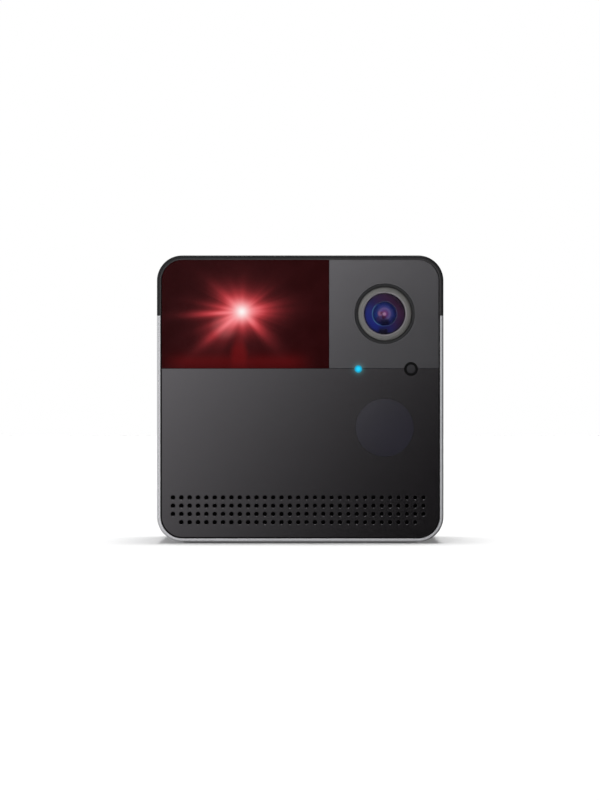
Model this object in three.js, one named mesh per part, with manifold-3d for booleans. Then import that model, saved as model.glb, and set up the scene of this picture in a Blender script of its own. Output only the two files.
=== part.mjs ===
// Interactive pet camera: a cube with a steered laser behind a red window, a wide lens and a speaker.
// Millimetres. X runs to the right of someone who faces the front, Y from the front to the back, Z up.
// The origin is on the ground, under the middle of the cube.
import * as THREE from "three";
import { mergeVertices } from "three/addons/utils/BufferGeometryUtils.js";
import Module from "manifold-3d";

// Whole cube
const cubeSide = 101.6; // a 4 inch cube
const cornerRadius = 9;
const footDrop = 0.5; // how far the foot stands below the sleeve

// Clearances
const seatGap = 0.1; // between faces that rest on each other
const seamGap = 0.1; // between panels that meet edge to edge
const looseGap = 0.3; // round a piece that drops into its place
const runGap = 0.2; // round what turns or slides
const overrun = 1; // how far a cut runs past the face that it opens

// Aluminium sleeve, an extruded tube with a screw port in each corner
const sleeveWall = 2.2;
const rimWidth = 1.3; // aluminium seen round the panels
const portInset = 6.2; // from the cube's sides to the middle of a screw port
const portRadius = 3.4;
const portBore = 1.05;
const portStart = 24; // behind the front face

// Plastic antenna window, an arch over the front of the top and of the upper sides
const windowDepth = 16;
const windowDrop = 21.4; // from the top down to its ends
const tongueThickness = 1;
const tongueLength = 3; // under the sleeve, and as much again under the window

// Front panels
const panelRecess = 0.3;
const panelThickness = 1.8;
const seamDrop = 40.1; // from the top down to the seam under the window
const seamAcross = 10.23; // from the middle to the seam between window and lens

// Speaker holes, whose lowest row has none at either end
const holeRows = 4;
const holePitchAcross = 2.963;
const holePitchUp = 2.925;
const holeRadius = 0.675;
const holeLeftInset = 5.69; // from the cube's left side to the first column
const holeRightInset = 6.95; // the least from the last column to the right side
const holeUp = 6.95; // from the sleeve's underside to the lowest row

// Chassis behind the panels
const flangeThickness = 1.5;
const skirtThickness = 1.5;
const skirtDepth = 6;
const apertureBorder = 3.6; // round the opening behind the red window
const slotBorder = 1.4; // round the speaker holes
const ribThickness = 1.5;
const ribDepth = 8;

// Lens and its parts, on one axis
const lensInset = 20.84; // from the cube's right side
const lensDrop = 20.69; // from its top
const bezelSeat = 10.6;
const bezelRadius = 9.5;
const bezelCrest = 0.3;
const bezelProud = 0.1;
const bezelFloor = 1;
const bezelSink = 1.1; // from the panel's face to the inner edge of its cone
const frontLensRadius = 7.2;
const frontLensSag = 1.15;
const frontLensEdge = 2;
const barrelWall = 1.1;
const barrelLength = 13;
const barrelBore = 5.2;
const barrelStep = 6.4; // from its front to the step that the iris seats on
const rearBore = 4.2;
const innerLensThickness = 2.4;
const innerLensSag = 0.6;
const irisThickness = 0.4;
const irisRadius = 1.5;
const rearLensThickness = 2;
const holderWall = 1.6;
const holderTube = 8.6;
const holderBase = 22;
const holderBaseHeight = 2.9;
const holderCavity = 13;
const sensorChip = 9;
const sensorChipHeight = 1.1;

// Camera board and the pegs that carry it
const boardThickness = 1.2;
const cameraBoardDepth = 19.6; // behind the front face
const cameraBoardWidth = 32;
const cameraBoardAbove = 15;
const cameraBoardBelow = 4.8; // under the status light's middle
const cameraPegInset = 2.5; // from the board's edges
const cameraPegBelow = 14.5; // from the lens's axis down to the lower pair
const pegRadius = 2;
const pegPin = 1;
const pegPinLength = 2;

// Status light and microphone, both on the seam
const portsAcross = 9.33; // from the lens's axis out to the light and to the microphone
const portsDrop = 0.19; // below the seam
const lightRadius = 1.25;
const lightCollar = 2.2;
const lightCollarLength = 1;
const lightDiodeWidth = 3;
const lightDiodeHeight = 0.9;
const micRadius = 2.35;
const micPort = 1.6;
const micLip = 0.7;
const micCapsule = 1.9;
const micCapsuleLength = 1.6;
const bootFlange = 3.2;
const bootFlangeLength = 1.2;

// Motion sensor behind its round cover
const discDrop = 20.99; // below the seam, straight under the lens
const discRadius = 10.26;
const sensorOpening = 7.5;
const sensorBossWall = 1.6;
const sensorBossDepth = 3;
const sensorCanRadius = 4.1;
const sensorCanLength = 4;
const sensorCanRim = 0.5;
const sensorBoardSide = 18;

// Speaker and the tray that leads its sound to the holes
const driverAcross = -14;
const driverHeadroom = 1.88; // under the laser's bracket
const driverFootroom = 1.8; // over the sleeve's floor
const trayDepth = 8;
const trayWall = 1.2;
const trayStrip = 19; // height of the tray's long strip above the sleeve's underside
const driverFlange = 1.2;
const basketWall = 1;
const basketDepth = 9;
const rimShare = 0.8; // these four are shares of the driver's radius
const throatShare = 0.525;
const coilShare = 0.3;
const magnetShare = 0.6;
const surroundWidth = 2.6;
const surroundHeight = 1.2;
const surroundThickness = 0.5;
const coneEdge = 0.5;
const coneDepth = 5.5;
const capRise = 1.8;
const capShoulder = 1.35; // its rise half-way out
const coilWall = 0.4;
const coilLength = 5.8;
const coilGapHalf = 0.65;
const coilGapDepth = 3.2;
const magnetLength = 6.6;
const meshThickness = 0.4;

// Laser head: the pivot is where the pan and the tilt axes cross
const pivotInset = 30.5; // from the cube's left side
const pivotDrop = 20.02; // from its top
const pivotDepth = 17.8; // behind the front face
const gearModule = 0.6;
const gearAddendumShare = 0.68;
const pinionAddendumShare = 0.82;
const tipClearance = 0.16;
const backlash = 0.2;
const pinionTeeth = 10;
const pinionShaft = 0.75;
const panTeeth = 30;
const panSectorTeeth = 9;
const tiltTeeth = 24;
const tiltSectorTeeth = 6;
const tiltSectorShift = -0.5; // teeth, from straight back to the middle of the toothed arc
const gearThickness = 2;
const pinionLength = 2.6;
const cradleHalf = 5;
const cradleFront = 6;
const cradleBack = 5;
const cradleRounding = 1.5;
const trunnionRadius = 1.25;
const armInside = 8;
const armThickness = 1.5;
const armHalfWidth = 4.5;
const sectorInside = 5.2; // from the pivot to the near face of the tilt sector
const sectorHub = 3.5;
const yokeFloor = 10.5; // from the pivot down to the top of the yoke's base
const yokeBaseHalf = 6;
const panShaftRadius = 2.5;
const panHub = 4;
const panGearDrop = 13; // from the pivot down to the top of the pan gear
const bracketDrop = 17; // from the pivot down to the top of the bracket
const bracketThickness = 2;
const bracketHalfWidth = 16;
const bracketBehind = 19;
const bracketFlangeDrop = 14;
const gussetReach = 13;
const gussetThickness = 1.6;
const bushRadius = 3.7;
const bushFlange = 5;
const bushFlangeHeight = 0.8;
const clipRadius = 4.6;
const clipThickness = 0.8;
const clipDrop = 0.5;
const motorRadius = 5;
const motorLength = 11;
const motorBoss = 2.6;
const motorBossHeight = 0.8;
const tiltMotorRadius = 4;
const tiltMotorLength = 9;
const shaftDepth = 5; // of a pinion's shaft inside its motor
const moduleRadius = 3;
const moduleFront = 9;
const moduleBack = 6;
const moduleLip = 0.9;
const laserLensDepth = 2;
const laserLensSag = 0.5;
const bracketScrewAcross = 11;
const bracketScrewDrop = 10;

// Main board and what it carries
const mainBoardThickness = 1.6;
const mainBoardBack = 15.7; // between the board and the rear cover
const mainBoardGap = 2.7; // between the board and the screw ports
const mainBoardRounding = 3;
const standoffInset = 4.5;
const standoffRadius = 3;
const chipSide = 14;
const chipHeight = 1.4;
const chipAcross = -10;
const chipUp = 6;
const sinkSide = 24;
const sinkBase = 1.5;
const sinkFins = 7;
const sinkFinThickness = 1.2;
const sinkFinHeight = 7;
const shieldWidth = 20;
const shieldHeight = 15;
const shieldThickness = 2.6;
const shieldAcross = -10;
const shieldInset = 9.5; // from the board's top edge to its middle
const antennaWidth = 34;
const antennaDepth = 9;
const antennaThickness = 0.8;
const antennaStart = 1.2; // behind the chassis flange
const ribbonWidth = 10;
const ribbonThickness = 0.3;
const ribbonEaseShare = 0.6; // how much of its run it takes to leave a plug's direction
const plugWidth = 13;
const plugHeight = 4;
const plugThickness = 2;

// Rear cover, power socket and reset button
const coverRecess = 1;
const coverThickness = 2.4;
const screwShank = 1.2;
const screwHead = 2.5;
const screwHeadHeight = 1.3;
const screwLength = 12;
const ventColumns = 9;
const ventRows = 2;
const ventWidth = 2;
const ventHeight = 14;
const ventPitch = 5;
const ventRowPitch = 19;
const ventUp = 12; // from the cover's middle up to the middle of the vents
const rearRowInset = 6.5; // from the board's lower edge up to the socket and the button
const socketWell = 5.5;
const socketWellFlare = 0.6;
const socketWidth = 9;
const socketHeight = 11;
const socketNose = 4.3;
const socketNoseLength = 2;
const socketBore = 3.15;
const socketBoreDepth = 10;
const socketPin = 1;
const socketPinSink = 3;
const buttonAcross = -16;
const buttonRadius = 2.4;
const buttonProud = 0.2;
const buttonFlange = 3.4;
const buttonFlangeHeight = 1;
const buttonStem = 1.5;
const buttonTravel = 0.5;
const switchSide = 6;
const switchHeight = 3.4;
const plungerRadius = 1.6;
const plungerLength = 3.4;
const plungerFloor = 1.1; // thickness of the switch under its plunger's well

// Foot and tripod socket
const footInset = 8.8; // from the cube's sides
const footRounding = 6;
const footSeat = 0.6; // depth of the pocket that the foot is bonded into
const footHole = 7.2;
const tripodBore = 3.175; // a quarter inch screw
const tripodBoreDepth = 8.4;
const tripodRadius = 5;
const tripodFlange = 7.5;
const tripodFlangeHeight = 1.5;
const tripodCrown = 1.4; // above the blind end of the bore

// Facets
const arcSteps = 3; // a quarter turn of an outline has twice as many sides
const holeSides = 6; // of a speaker hole
const roundSides = 14;
const smallSides = 8;
const wideSides = 24;
const domeSteps = 3;
const ribbonSteps = 12;
const quarter = Math.PI / 2;

// Planes and places that follow from the sizes
const half = cubeSide / 2;
const front = -half;
const back = half;
const middle = footDrop + half;
const top = footDrop + cubeSide;
const panelFront = front + panelRecess;
const panelBack = panelFront + panelThickness;
const flangeFront = panelBack + seatGap;
const flangeBack = flangeFront + flangeThickness;
const frontLedge = flangeBack + seatGap;
const coverBack = back - coverRecess;
const coverFront = coverBack - coverThickness;
const rearLedge = coverFront - seatGap;
const windowBack = front + windowDepth;
const windowEnd = top - windowDrop;
const seamUp = top - seamDrop;
const lensAcross = half - lensInset;
const lensUp = top - lensDrop;
const lightAcross = lensAcross - portsAcross;
const micAcross = lensAcross + portsAcross;
const portsUp = seamUp - portsDrop;
const discUp = seamUp - discDrop;
const pivotAcross = pivotInset - half;
const pivotUp = top - pivotDrop;
const trayTop = footDrop + trayStrip;
const trayFront = flangeBack + seatGap;
const trayBack = trayFront + trayDepth;
const cameraBoardFront = front + cameraBoardDepth;
const mainBoardRear = coverFront - mainBoardBack;
const mainBoardFront = mainBoardRear - mainBoardThickness;
const mainBoardHalf = half - portInset - portRadius - mainBoardGap;
const rearRowUp = middle - mainBoardHalf + rearRowInset;
const sleeveFloor = footDrop + sleeveWall;
const footSide = cubeSide - 2 * footInset;
const holderRadius = frontLensRadius + barrelWall + seatGap;
const pinionPitch = (gearModule * pinionTeeth) / 2;
const panPitch = (gearModule * panTeeth) / 2;
const tiltPitch = (gearModule * tiltTeeth) / 2;
const panReach = panPitch + pinionPitch;
const tiltReach = tiltPitch + pinionPitch;
const armOutside = armInside + armThickness;
const bracketBottom = -bracketDrop - bracketThickness;
const bracketFlangeLow = bracketBottom - bracketFlangeDrop;
const driverFloor = sleeveFloor + looseGap + driverFootroom;
const trayRound = (pivotUp + bracketFlangeLow - driverHeadroom - driverFloor) / 2;
const driverUp = driverFloor + trayRound;
const driverRadius = trayRound - trayWall;
const coilRadius = driverRadius * coilShare;
const firstHoleAcross = holeLeftInset - half;
const firstHoleUp = footDrop + holeUp;
const holeColumns = Math.floor((cubeSide - holeLeftInset - holeRightInset) / holePitchAcross) + 1;
const lastHoleAcross = firstHoleAcross + (holeColumns - 1) * holePitchAcross;
const lastHoleUp = firstHoleUp + (holeRows - 1) * holePitchUp;
const ownAxis = [0, 0, 0]; // of a piece that is drawn round its own middle
const leftEnd = -half - overrun;
const rightEnd = half + overrun;
const lowEnd = footDrop - overrun;
const highEnd = top + overrun;

const wasm = await Module();
wasm.setup();

// A closed geometry as a solid that can be joined and cut.
function solid(geometry) {
  const bare = new THREE.BufferGeometry();
  const loose = geometry.index ? geometry.toNonIndexed() : geometry;
  bare.setAttribute("position", loose.getAttribute("position"));
  const merged = mergeVertices(bare);
  const corners = merged.index.array;
  const faces = [];
  for (let i = 0; i < corners.length; i += 3) {
    const [a, b, c] = corners.slice(i, i + 3);
    if (a !== b && b !== c && c !== a) faces.push(a, b, c);
  }
  const vertProperties = merged.attributes.position.array;
  return new wasm.Manifold(new wasm.Mesh({ numProp: 3, vertProperties, triVerts: new Uint32Array(faces) }));
}

const join = (first, ...others) => others.reduce((whole, other) => whole.add(other), first);
const cut = (first, ...others) => others.reduce((whole, other) => whole.subtract(other), first);

// Turns a geometry that was made along Y so that it lies along the named axis.
function laid(geometry, axis) {
  if (axis === "x") geometry.rotateZ(-quarter);
  if (axis === "z") geometry.rotateX(quarter);
  return geometry;
}

// A box between two opposite corners.
function block(low, high) {
  const size = high.map((value, i) => value - low[i]);
  const geometry = new THREE.BoxGeometry(...size);
  return solid(geometry.translate(...low.map((value, i) => value + size[i] / 2)));
}

// A rod along an axis through a point, from one distance to another along that axis.
function rod(axis, [x, y, z], radius, from, to, sides = roundSides) {
  const geometry = new THREE.CylinderGeometry(radius, radius, to - from, sides);
  geometry.translate(0, (from + to) / 2, 0);
  return solid(laid(geometry, axis).translate(x, y, z));
}

// A turned solid, whose profile is a list of radius and distance along the axis.
function turned(axis, [x, y, z], profile, sides = roundSides) {
  let area = 0;
  profile.forEach(([r, s], i) => {
    const [nextR, nextS] = profile[(i + 1) % profile.length];
    area += r * nextS - nextR * s;
  });
  const points = profile.map(([r, s]) => new THREE.Vector2(r, s));
  if (profile[0][0] > 0) points.push(points[0].clone());
  if (area < 0) points.reverse();
  const geometry = new THREE.LatheGeometry(points, sides);
  return solid(laid(geometry, axis).translate(x, y, z));
}

// An outline pushed along an axis: drawn in X and Z for the y axis, Y and Z for x, X and Y for z.
function pushed(axis, shape, from, to) {
  const settings = { depth: to - from, bevelEnabled: false, curveSegments: arcSteps };
  const geometry = new THREE.ExtrudeGeometry(shape, settings);
  if (axis === "y") geometry.rotateX(quarter).translate(0, to, 0);
  if (axis === "z") geometry.translate(0, 0, from);
  if (axis === "x") {
    const turn = new THREE.Matrix4().set(0, 0, 1, from, 1, 0, 0, 0, 0, 1, 0, 0, 0, 0, 0, 1);
    geometry.applyMatrix4(turn);
  }
  return solid(geometry);
}

// A rectangle with round corners.
function rounded(left, right, low, high, radius) {
  const shape = new THREE.Shape();
  shape.absarc(right - radius, high - radius, radius, 0, quarter, false);
  shape.absarc(left + radius, high - radius, radius, quarter, 2 * quarter, false);
  shape.absarc(left + radius, low + radius, radius, 2 * quarter, 3 * quarter, false);
  shape.absarc(right - radius, low + radius, radius, 3 * quarter, 4 * quarter, false);
  return shape;
}

// The cube's front outline, moved inwards.
function outline(inset) {
  return rounded(-half + inset, half - inset, footDrop + inset, top - inset, cornerRadius - inset);
}

// Everything between two heights, or between two sides, used to keep one part of a solid.
function between(low, high) {
  return block([low[0], front - overrun, low[1]], [high[0], back + overrun, high[1]]);
}

// Puts one solid into a group as a named mesh.
function put(group, name, shape, material) {
  const { vertProperties, triVerts } = shape.getMesh();
  const geometry = new THREE.BufferGeometry();
  geometry.setAttribute("position", new THREE.BufferAttribute(new Float32Array(vertProperties), 3));
  geometry.setIndex(new THREE.BufferAttribute(new Uint32Array(triVerts), 1));
  geometry.computeVertexNormals();
  const mesh = new THREE.Mesh(geometry, material);
  mesh.name = name;
  group.add(mesh);
  return mesh;
}

// Materials
function finish(color, roughness, metalness) {
  return new THREE.MeshStandardMaterial({ color, roughness, metalness });
}

const aluminium = finish(0xb9b9bd, 0.35, 1);
const windowBlack = finish(0x1c1c20, 0.35, 0);
const redFilter = finish(0x3a0a0d, 0.08, 0);
const smokedGrey = finish(0x55555a, 0.12, 0);
const panelBlack = finish(0x2c2b2e, 0.15, 0);
const sensorTint = finish(0x303036, 0.15, 0);
const mouldedBlack = finish(0x161618, 0.6, 0);
const bezelGrey = finish(0x4a4a4e, 0.35, 0.4);
const coatedGlass = finish(0x23264a, 0.03, 0);
const clearGlass = finish(0xb8c4d0, 0.03, 0);
const litBlue = finish(0x28d2ff, 0.2, 0);
const diodeWhite = finish(0xe8e6dc, 0.4, 0);
const boardGreen = finish(0x1d4a32, 0.5, 0);
const chipBlack = finish(0x202022, 0.5, 0);
const rubberBlack = finish(0x1a1a1a, 0.85, 0);
const steel = finish(0x9a9ca0, 0.35, 1);
const brass = finish(0xb5904c, 0.3, 1);
const bronze = finish(0x9a6a3c, 0.45, 1);
const copper = finish(0xb4673a, 0.4, 1);
const gearWhite = finish(0xd9d6cc, 0.5, 0);
const paperGrey = finish(0x3a3a3c, 0.9, 0);
const clothBlack = finish(0x121214, 0.95, 0);
const ferrite = finish(0x2b2b2e, 0.7, 0.3);
const ribbonBrown = finish(0x8a5a20, 0.4, 0);

// Sleeve and antenna window share one walled section, and the window takes the sleeve's place at the front.
function walledSection() {
  return cut(
    pushed("y", outline(0), front, back),
    pushed("y", outline(sleeveWall), front - overrun, back + overrun),
    pushed("y", outline(rimWidth), front - overrun, frontLedge),
    pushed("y", outline(rimWidth), rearLedge, back + overrun),
  );
}

// The corner places of a square whose sides lie as far in from the cube's sides.
function cornerPlaces(inset) {
  const reach = half - inset;
  return [-reach, reach].flatMap((x) => [-reach, reach].map((z) => [x, middle + z]));
}

function bodySleeve() {
  const notch = block([leftEnd, front - overrun, windowEnd], [rightEnd, windowBack, highEnd]);
  const pocket = pushed(
    "z",
    rounded(-footSide / 2, footSide / 2, -footSide / 2, footSide / 2, footRounding),
    lowEnd,
    footDrop + footSeat,
  );
  const ports = cornerPlaces(portInset).map(([x, z]) =>
    rod("y", [x, 0, z], portRadius, front + portStart, rearLedge, smallSides),
  );
  const bores = cornerPlaces(portInset).map(([x, z]) =>
    rod("y", [x, 0, z], portBore, front + portStart - overrun, back, smallSides),
  );
  const tripodHole = rod("z", ownAxis, tripodRadius + seatGap, lowEnd, sleeveFloor + overrun);
  return cut(join(walledSection(), ...ports), notch, pocket, tripodHole, ...bores);
}

function antennaWindow() {
  const arch = walledSection().intersect(
    block([leftEnd, front - overrun, windowEnd + seamGap], [rightEnd, windowBack - seamGap, highEnd]),
  );
  const under = sleeveWall + seatGap;
  const tongueFront = windowBack - seamGap - tongueLength;
  const ring = (inset, from, to) =>
    cut(
      pushed("y", outline(inset), from, to),
      pushed("y", outline(under + tongueThickness), from - overrun, to + overrun),
    );
  const tongue = join(
    ring(rimWidth, tongueFront, windowBack - seamGap),
    ring(under, tongueFront, windowBack + tongueLength),
  ).intersect(between([leftEnd, windowEnd + seamGap], [rightEnd, highEnd]));
  return join(arch, tongue);
}

// Front panels, cut from one face along the two seams
function facePart(face, low, high) {
  return pushed("y", face, panelFront, panelBack).intersect(between(low, high));
}

function laserWindow() {
  return facePart(
    outline(rimWidth + seamGap),
    [leftEnd, seamUp + seamGap / 2],
    [seamAcross - seamGap / 2, highEnd],
  );
}

// The status light and the microphone come through half in one panel and half in the other.
function seamHoles(gap, from, to) {
  return [
    rod("y", [lightAcross, 0, portsUp], lightRadius + gap, from, to, smallSides),
    rod("y", [micAcross, 0, portsUp], micRadius + gap, from, to),
  ];
}

function cameraPanel() {
  const panel = facePart(
    outline(rimWidth + seamGap),
    [seamAcross + seamGap / 2, seamUp + seamGap / 2],
    [rightEnd, highEnd],
  );
  const from = panelFront - overrun;
  const to = panelBack + overrun;
  const lensHole = rod("y", [lensAcross, 0, lensUp], bezelSeat, from, to, wideSides);
  return cut(panel, lensHole, ...seamHoles(seamGap, from, to));
}

// The corners of a regular polygon.
function ringPoints(x, z, radius, sides) {
  return Array.from({ length: sides }, (_, i) => {
    const angle = (4 * quarter * i) / sides;
    return new THREE.Vector2(x + radius * Math.cos(angle), z + radius * Math.sin(angle));
  });
}

function speakerPanel() {
  const face = outline(rimWidth + seamGap);
  for (let row = 0; row < holeRows; row += 1) {
    for (let column = 0; column < holeColumns; column += 1) {
      const atEnd = column === 0 || column === holeColumns - 1;
      if (row === 0 && atEnd) continue;
      const x = firstHoleAcross + column * holePitchAcross;
      const z = firstHoleUp + row * holePitchUp;
      face.holes.push(new THREE.Path(ringPoints(x, z, holeRadius, holeSides)));
    }
  }
  const panel = facePart(face, [leftEnd, lowEnd], [rightEnd, seamUp - seamGap / 2]);
  const from = panelFront - overrun;
  const to = panelBack + overrun;
  const discHole = rod("y", [lensAcross, 0, discUp], discRadius + seamGap, from, to, wideSides);
  return cut(panel, discHole, ...seamHoles(seamGap, from, to));
}

function sensorCover() {
  return rod("y", [lensAcross, 0, discUp], discRadius, panelFront, panelBack, wideSides);
}

// Chassis: the flange that carries the panels, its skirt, and the pegs and bosses behind it
const slotEdge = holeRadius + slotBorder;

function speakerSlot(edge, from, to) {
  return block(
    [firstHoleAcross - edge, from, firstHoleUp - edge],
    [lastHoleAcross + edge, to, lastHoleUp + edge],
  );
}

function cameraPegPlaces() {
  const across = cameraBoardWidth / 2 - cameraPegInset;
  return [-across, across].flatMap((x) =>
    [-cameraPegBelow, cameraBoardAbove - cameraPegInset].map((z) => [lensAcross + x, lensUp + z]),
  );
}

function frontChassis() {
  const skirtInset = sleeveWall + looseGap;
  const skirt = cut(
    pushed("y", outline(skirtInset), flangeFront, flangeBack + skirtDepth),
    pushed("y", outline(skirtInset + skirtThickness), flangeFront - overrun, back),
  ).intersect(between([leftEnd, trayTop + looseGap], [rightEnd, highEnd]));
  const pegs = cameraPegPlaces().flatMap(([x, z]) => [
    rod("y", [x, 0, z], pegRadius, flangeFront, cameraBoardFront - seatGap, smallSides),
    rod("y", [x, 0, z], pegPin, flangeFront, cameraBoardFront + pegPinLength, smallSides),
  ]);
  const boss = rod(
    "y",
    [lensAcross, 0, discUp],
    sensorOpening + sensorBossWall,
    flangeFront,
    flangeBack + sensorBossDepth,
  );
  const rib = block(
    [seamAcross - ribThickness / 2, flangeFront, seamUp],
    [seamAcross + ribThickness / 2, flangeBack + ribDepth, top - skirtInset - overrun],
  );
  const windowHole = block(
    [-half + rimWidth + apertureBorder, front, seamUp + apertureBorder],
    [seamAcross - apertureBorder, flangeBack + overrun, top - rimWidth - apertureBorder],
  );
  const bracketHoles = [-bracketScrewAcross, bracketScrewAcross].map((x) =>
    rod("y", [pivotAcross + x, 0, bracketScrewUp], portBore, front, flangeBack + overrun, smallSides),
  );
  return cut(
    join(pushed("y", outline(rimWidth + seamGap), flangeFront, flangeBack), skirt, boss, rib, ...pegs),
    windowHole,
    speakerSlot(slotEdge, front, flangeBack + overrun),
    rod("y", [lensAcross, 0, lensUp], holderRadius + seatGap, front, back, wideSides),
    rod("y", [lensAcross, 0, discUp], sensorOpening, front, back),
    ...seamHoles(runGap, front, back),
    ...bracketHoles,
  );
}

// Lens: built round its own axis, with distances measured back from the panel's face
const barrelFront = panelThickness + seatGap;

function lensRing() {
  const inner = frontLensRadius + seatGap;
  return turned(
    "y",
    ownAxis,
    [
      [inner, panelThickness],
      [inner, bezelSink],
      [bezelRadius - bezelCrest, -bezelProud],
      [bezelRadius, -bezelProud],
      [bezelRadius, bezelFloor],
      [bezelSeat - seamGap, bezelFloor],
      [bezelSeat - seamGap, panelThickness],
    ],
    wideSides,
  );
}

// A lens with a domed front, and a back that is domed too or flat.
function lens(radius, frontAt, thickness, frontSag, backSag, sides = wideSides) {
  const dome = (vertex, sag) => {
    const steps = sag === 0 ? 1 : domeSteps;
    const shares = Array.from({ length: steps + 1 }, (_, i) => i / steps);
    return shares.map((share) => [radius * share, vertex + sag * share ** 2]);
  };
  const profile = [...dome(frontAt, frontSag), ...dome(frontAt + thickness, -backSag).reverse()];
  return turned("y", ownAxis, profile, sides);
}

const frontLensAt = bezelFloor - frontLensSag;
const frontLensThickness = frontLensSag + frontLensEdge;
const barrelShoulder = frontLensAt + frontLensThickness + seatGap;

function lensBarrel() {
  const outside = frontLensRadius + barrelWall;
  return turned(
    "y",
    ownAxis,
    [
      [frontLensRadius + seatGap, barrelFront],
      [outside, barrelFront],
      [outside, barrelFront + barrelLength],
      [rearBore, barrelFront + barrelLength],
      [rearBore, barrelFront + barrelStep],
      [barrelBore, barrelFront + barrelStep],
      [barrelBore, barrelShoulder],
      [frontLensRadius + seatGap, barrelShoulder],
    ],
    wideSides,
  );
}

function lensIris() {
  const at = barrelFront + barrelStep - seatGap - irisThickness;
  const outside = barrelBore - seatGap;
  return turned(
    "y",
    ownAxis,
    [
      [irisRadius, at],
      [outside, at],
      [outside, at + irisThickness],
      [irisRadius, at + irisThickness],
    ],
    wideSides,
  );
}

function lensHolder(boardAt) {
  const end = boardAt - seatGap;
  const baseFront = boardAt - holderBaseHeight;
  const tubeFront = baseFront - holderTube;
  const square = (side, from, to) => block([-side / 2, from, -side / 2], [side / 2, to, side / 2]);
  return cut(
    join(
      rod("y", ownAxis, holderRadius + holderWall, tubeFront, end, wideSides),
      square(holderBase, baseFront, end),
    ),
    rod("y", ownAxis, holderRadius, tubeFront - overrun, baseFront + overrun / 2, wideSides),
    square(holderCavity, baseFront, boardAt),
  );
}

function imageSensor(boardAt) {
  const reach = sensorChip / 2;
  return block([-reach, boardAt - seatGap - sensorChipHeight, -reach], [reach, boardAt - seatGap, reach]);
}

function cameraBoard() {
  const rear = cameraBoardFront + boardThickness;
  const board = block(
    [lensAcross - cameraBoardWidth / 2, cameraBoardFront, portsUp - cameraBoardBelow],
    [lensAcross + cameraBoardWidth / 2, rear, lensUp + cameraBoardAbove],
  );
  const holes = cameraPegPlaces().map(([x, z]) =>
    rod("y", [x, 0, z], pegPin + seatGap, cameraBoardFront - overrun, rear + overrun, smallSides),
  );
  const plug = block(
    [lensAcross - plugWidth / 2, cameraBoardFront, lensUp - plugHeight],
    [lensAcross + plugWidth / 2, rear + plugThickness, lensUp],
  );
  return join(cut(board, ...holes), plug);
}

// Status light and microphone
function statusLightPipe() {
  const place = [lightAcross, 0, portsUp];
  const end = cameraBoardFront - lightDiodeHeight - 2 * seatGap;
  const collarAt = flangeBack + seatGap;
  return join(
    rod("y", place, lightRadius, panelFront, end, smallSides),
    rod("y", place, lightCollar, collarAt, collarAt + lightCollarLength, smallSides),
  );
}

function statusDiode() {
  const reach = lightDiodeWidth / 2;
  const behind = cameraBoardFront - seatGap;
  return block(
    [lightAcross - reach, behind - lightDiodeHeight, portsUp - reach],
    [lightAcross + reach, behind, portsUp + reach],
  );
}

function micBoot() {
  const end = flangeBack + seatGap + bootFlangeLength;
  return turned("y", [micAcross, 0, portsUp], [
    [micPort, panelFront],
    [micRadius, panelFront],
    [micRadius, flangeBack + seatGap],
    [bootFlange, flangeBack + seatGap],
    [bootFlange, end],
    [micCapsule + seatGap, end],
    [micCapsule + seatGap, panelFront + micLip],
    [micPort, panelFront + micLip],
  ]);
}

function microphone() {
  const at = panelFront + micLip + seatGap;
  return rod("y", [micAcross, 0, portsUp], micCapsule, at, at + micCapsuleLength);
}

// Motion sensor: a metal can on its own small board
function motionSensor() {
  const foot = flangeBack + sensorBossDepth;
  return turned("y", [lensAcross, 0, discUp], [
    [0, foot - sensorCanLength],
    [sensorCanRadius, foot - sensorCanLength],
    [sensorCanRadius, foot - sensorCanRim],
    [sensorCanRadius + sensorCanRim, foot - sensorCanRim],
    [sensorCanRadius + sensorCanRim, foot],
    [0, foot],
  ]);
}

function sensorBoard() {
  const reach = sensorBoardSide / 2;
  const at = flangeBack + sensorBossDepth + seatGap;
  return block(
    [lensAcross - reach, at, discUp - reach],
    [lensAcross + reach, at + boardThickness, discUp + reach],
  );
}

// Speaker: a tray behind the holes, closed by the chassis, with the driver on its back
function trayShape(inset, from, to) {
  const strip = pushed("y", outline(sleeveWall + looseGap + inset), from, to).intersect(
    between([leftEnd, lowEnd], [rightEnd, trayTop - inset]),
  );
  return join(strip, rod("y", [driverAcross, 0, driverUp], trayRound - inset, from, to, wideSides));
}

function speakerTray() {
  return cut(
    trayShape(0, trayFront, trayBack),
    trayShape(trayWall, trayFront - overrun, trayBack - trayWall),
    rod("y", [driverAcross, 0, driverUp], rimInside, front, trayBack + overrun, wideSides),
  );
}

function acousticMesh() {
  return speakerSlot(holeRadius + slotBorder / 2, flangeFront, flangeFront + meshThickness);
}

// The driver is built round its own axis, with distances measured back from its front.
const basketBack = driverFlange + basketDepth;
const rimInside = driverRadius * rimShare;
const basketThroat = driverRadius * throatShare;
const coilHole = coilRadius + basketWall;
const magnetRadius = driverRadius * magnetShare;
const coneRadius = rimInside - surroundWidth - 2 * seatGap;
const coneBack = coneEdge + coneDepth;
const magnetFront = basketBack + seatGap;

function speakerFrame() {
  return turned(
    "y",
    ownAxis,
    [
      [rimInside, 0],
      [driverRadius, 0],
      [driverRadius, driverFlange],
      [rimInside + 2 * basketWall, driverFlange],
      [basketThroat + basketWall, basketBack],
      [coilHole, basketBack],
      [coilHole, basketBack - basketWall],
      [basketThroat, basketBack - basketWall],
      [rimInside, driverFlange + basketWall],
    ],
    roundSides,
  );
}

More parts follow.
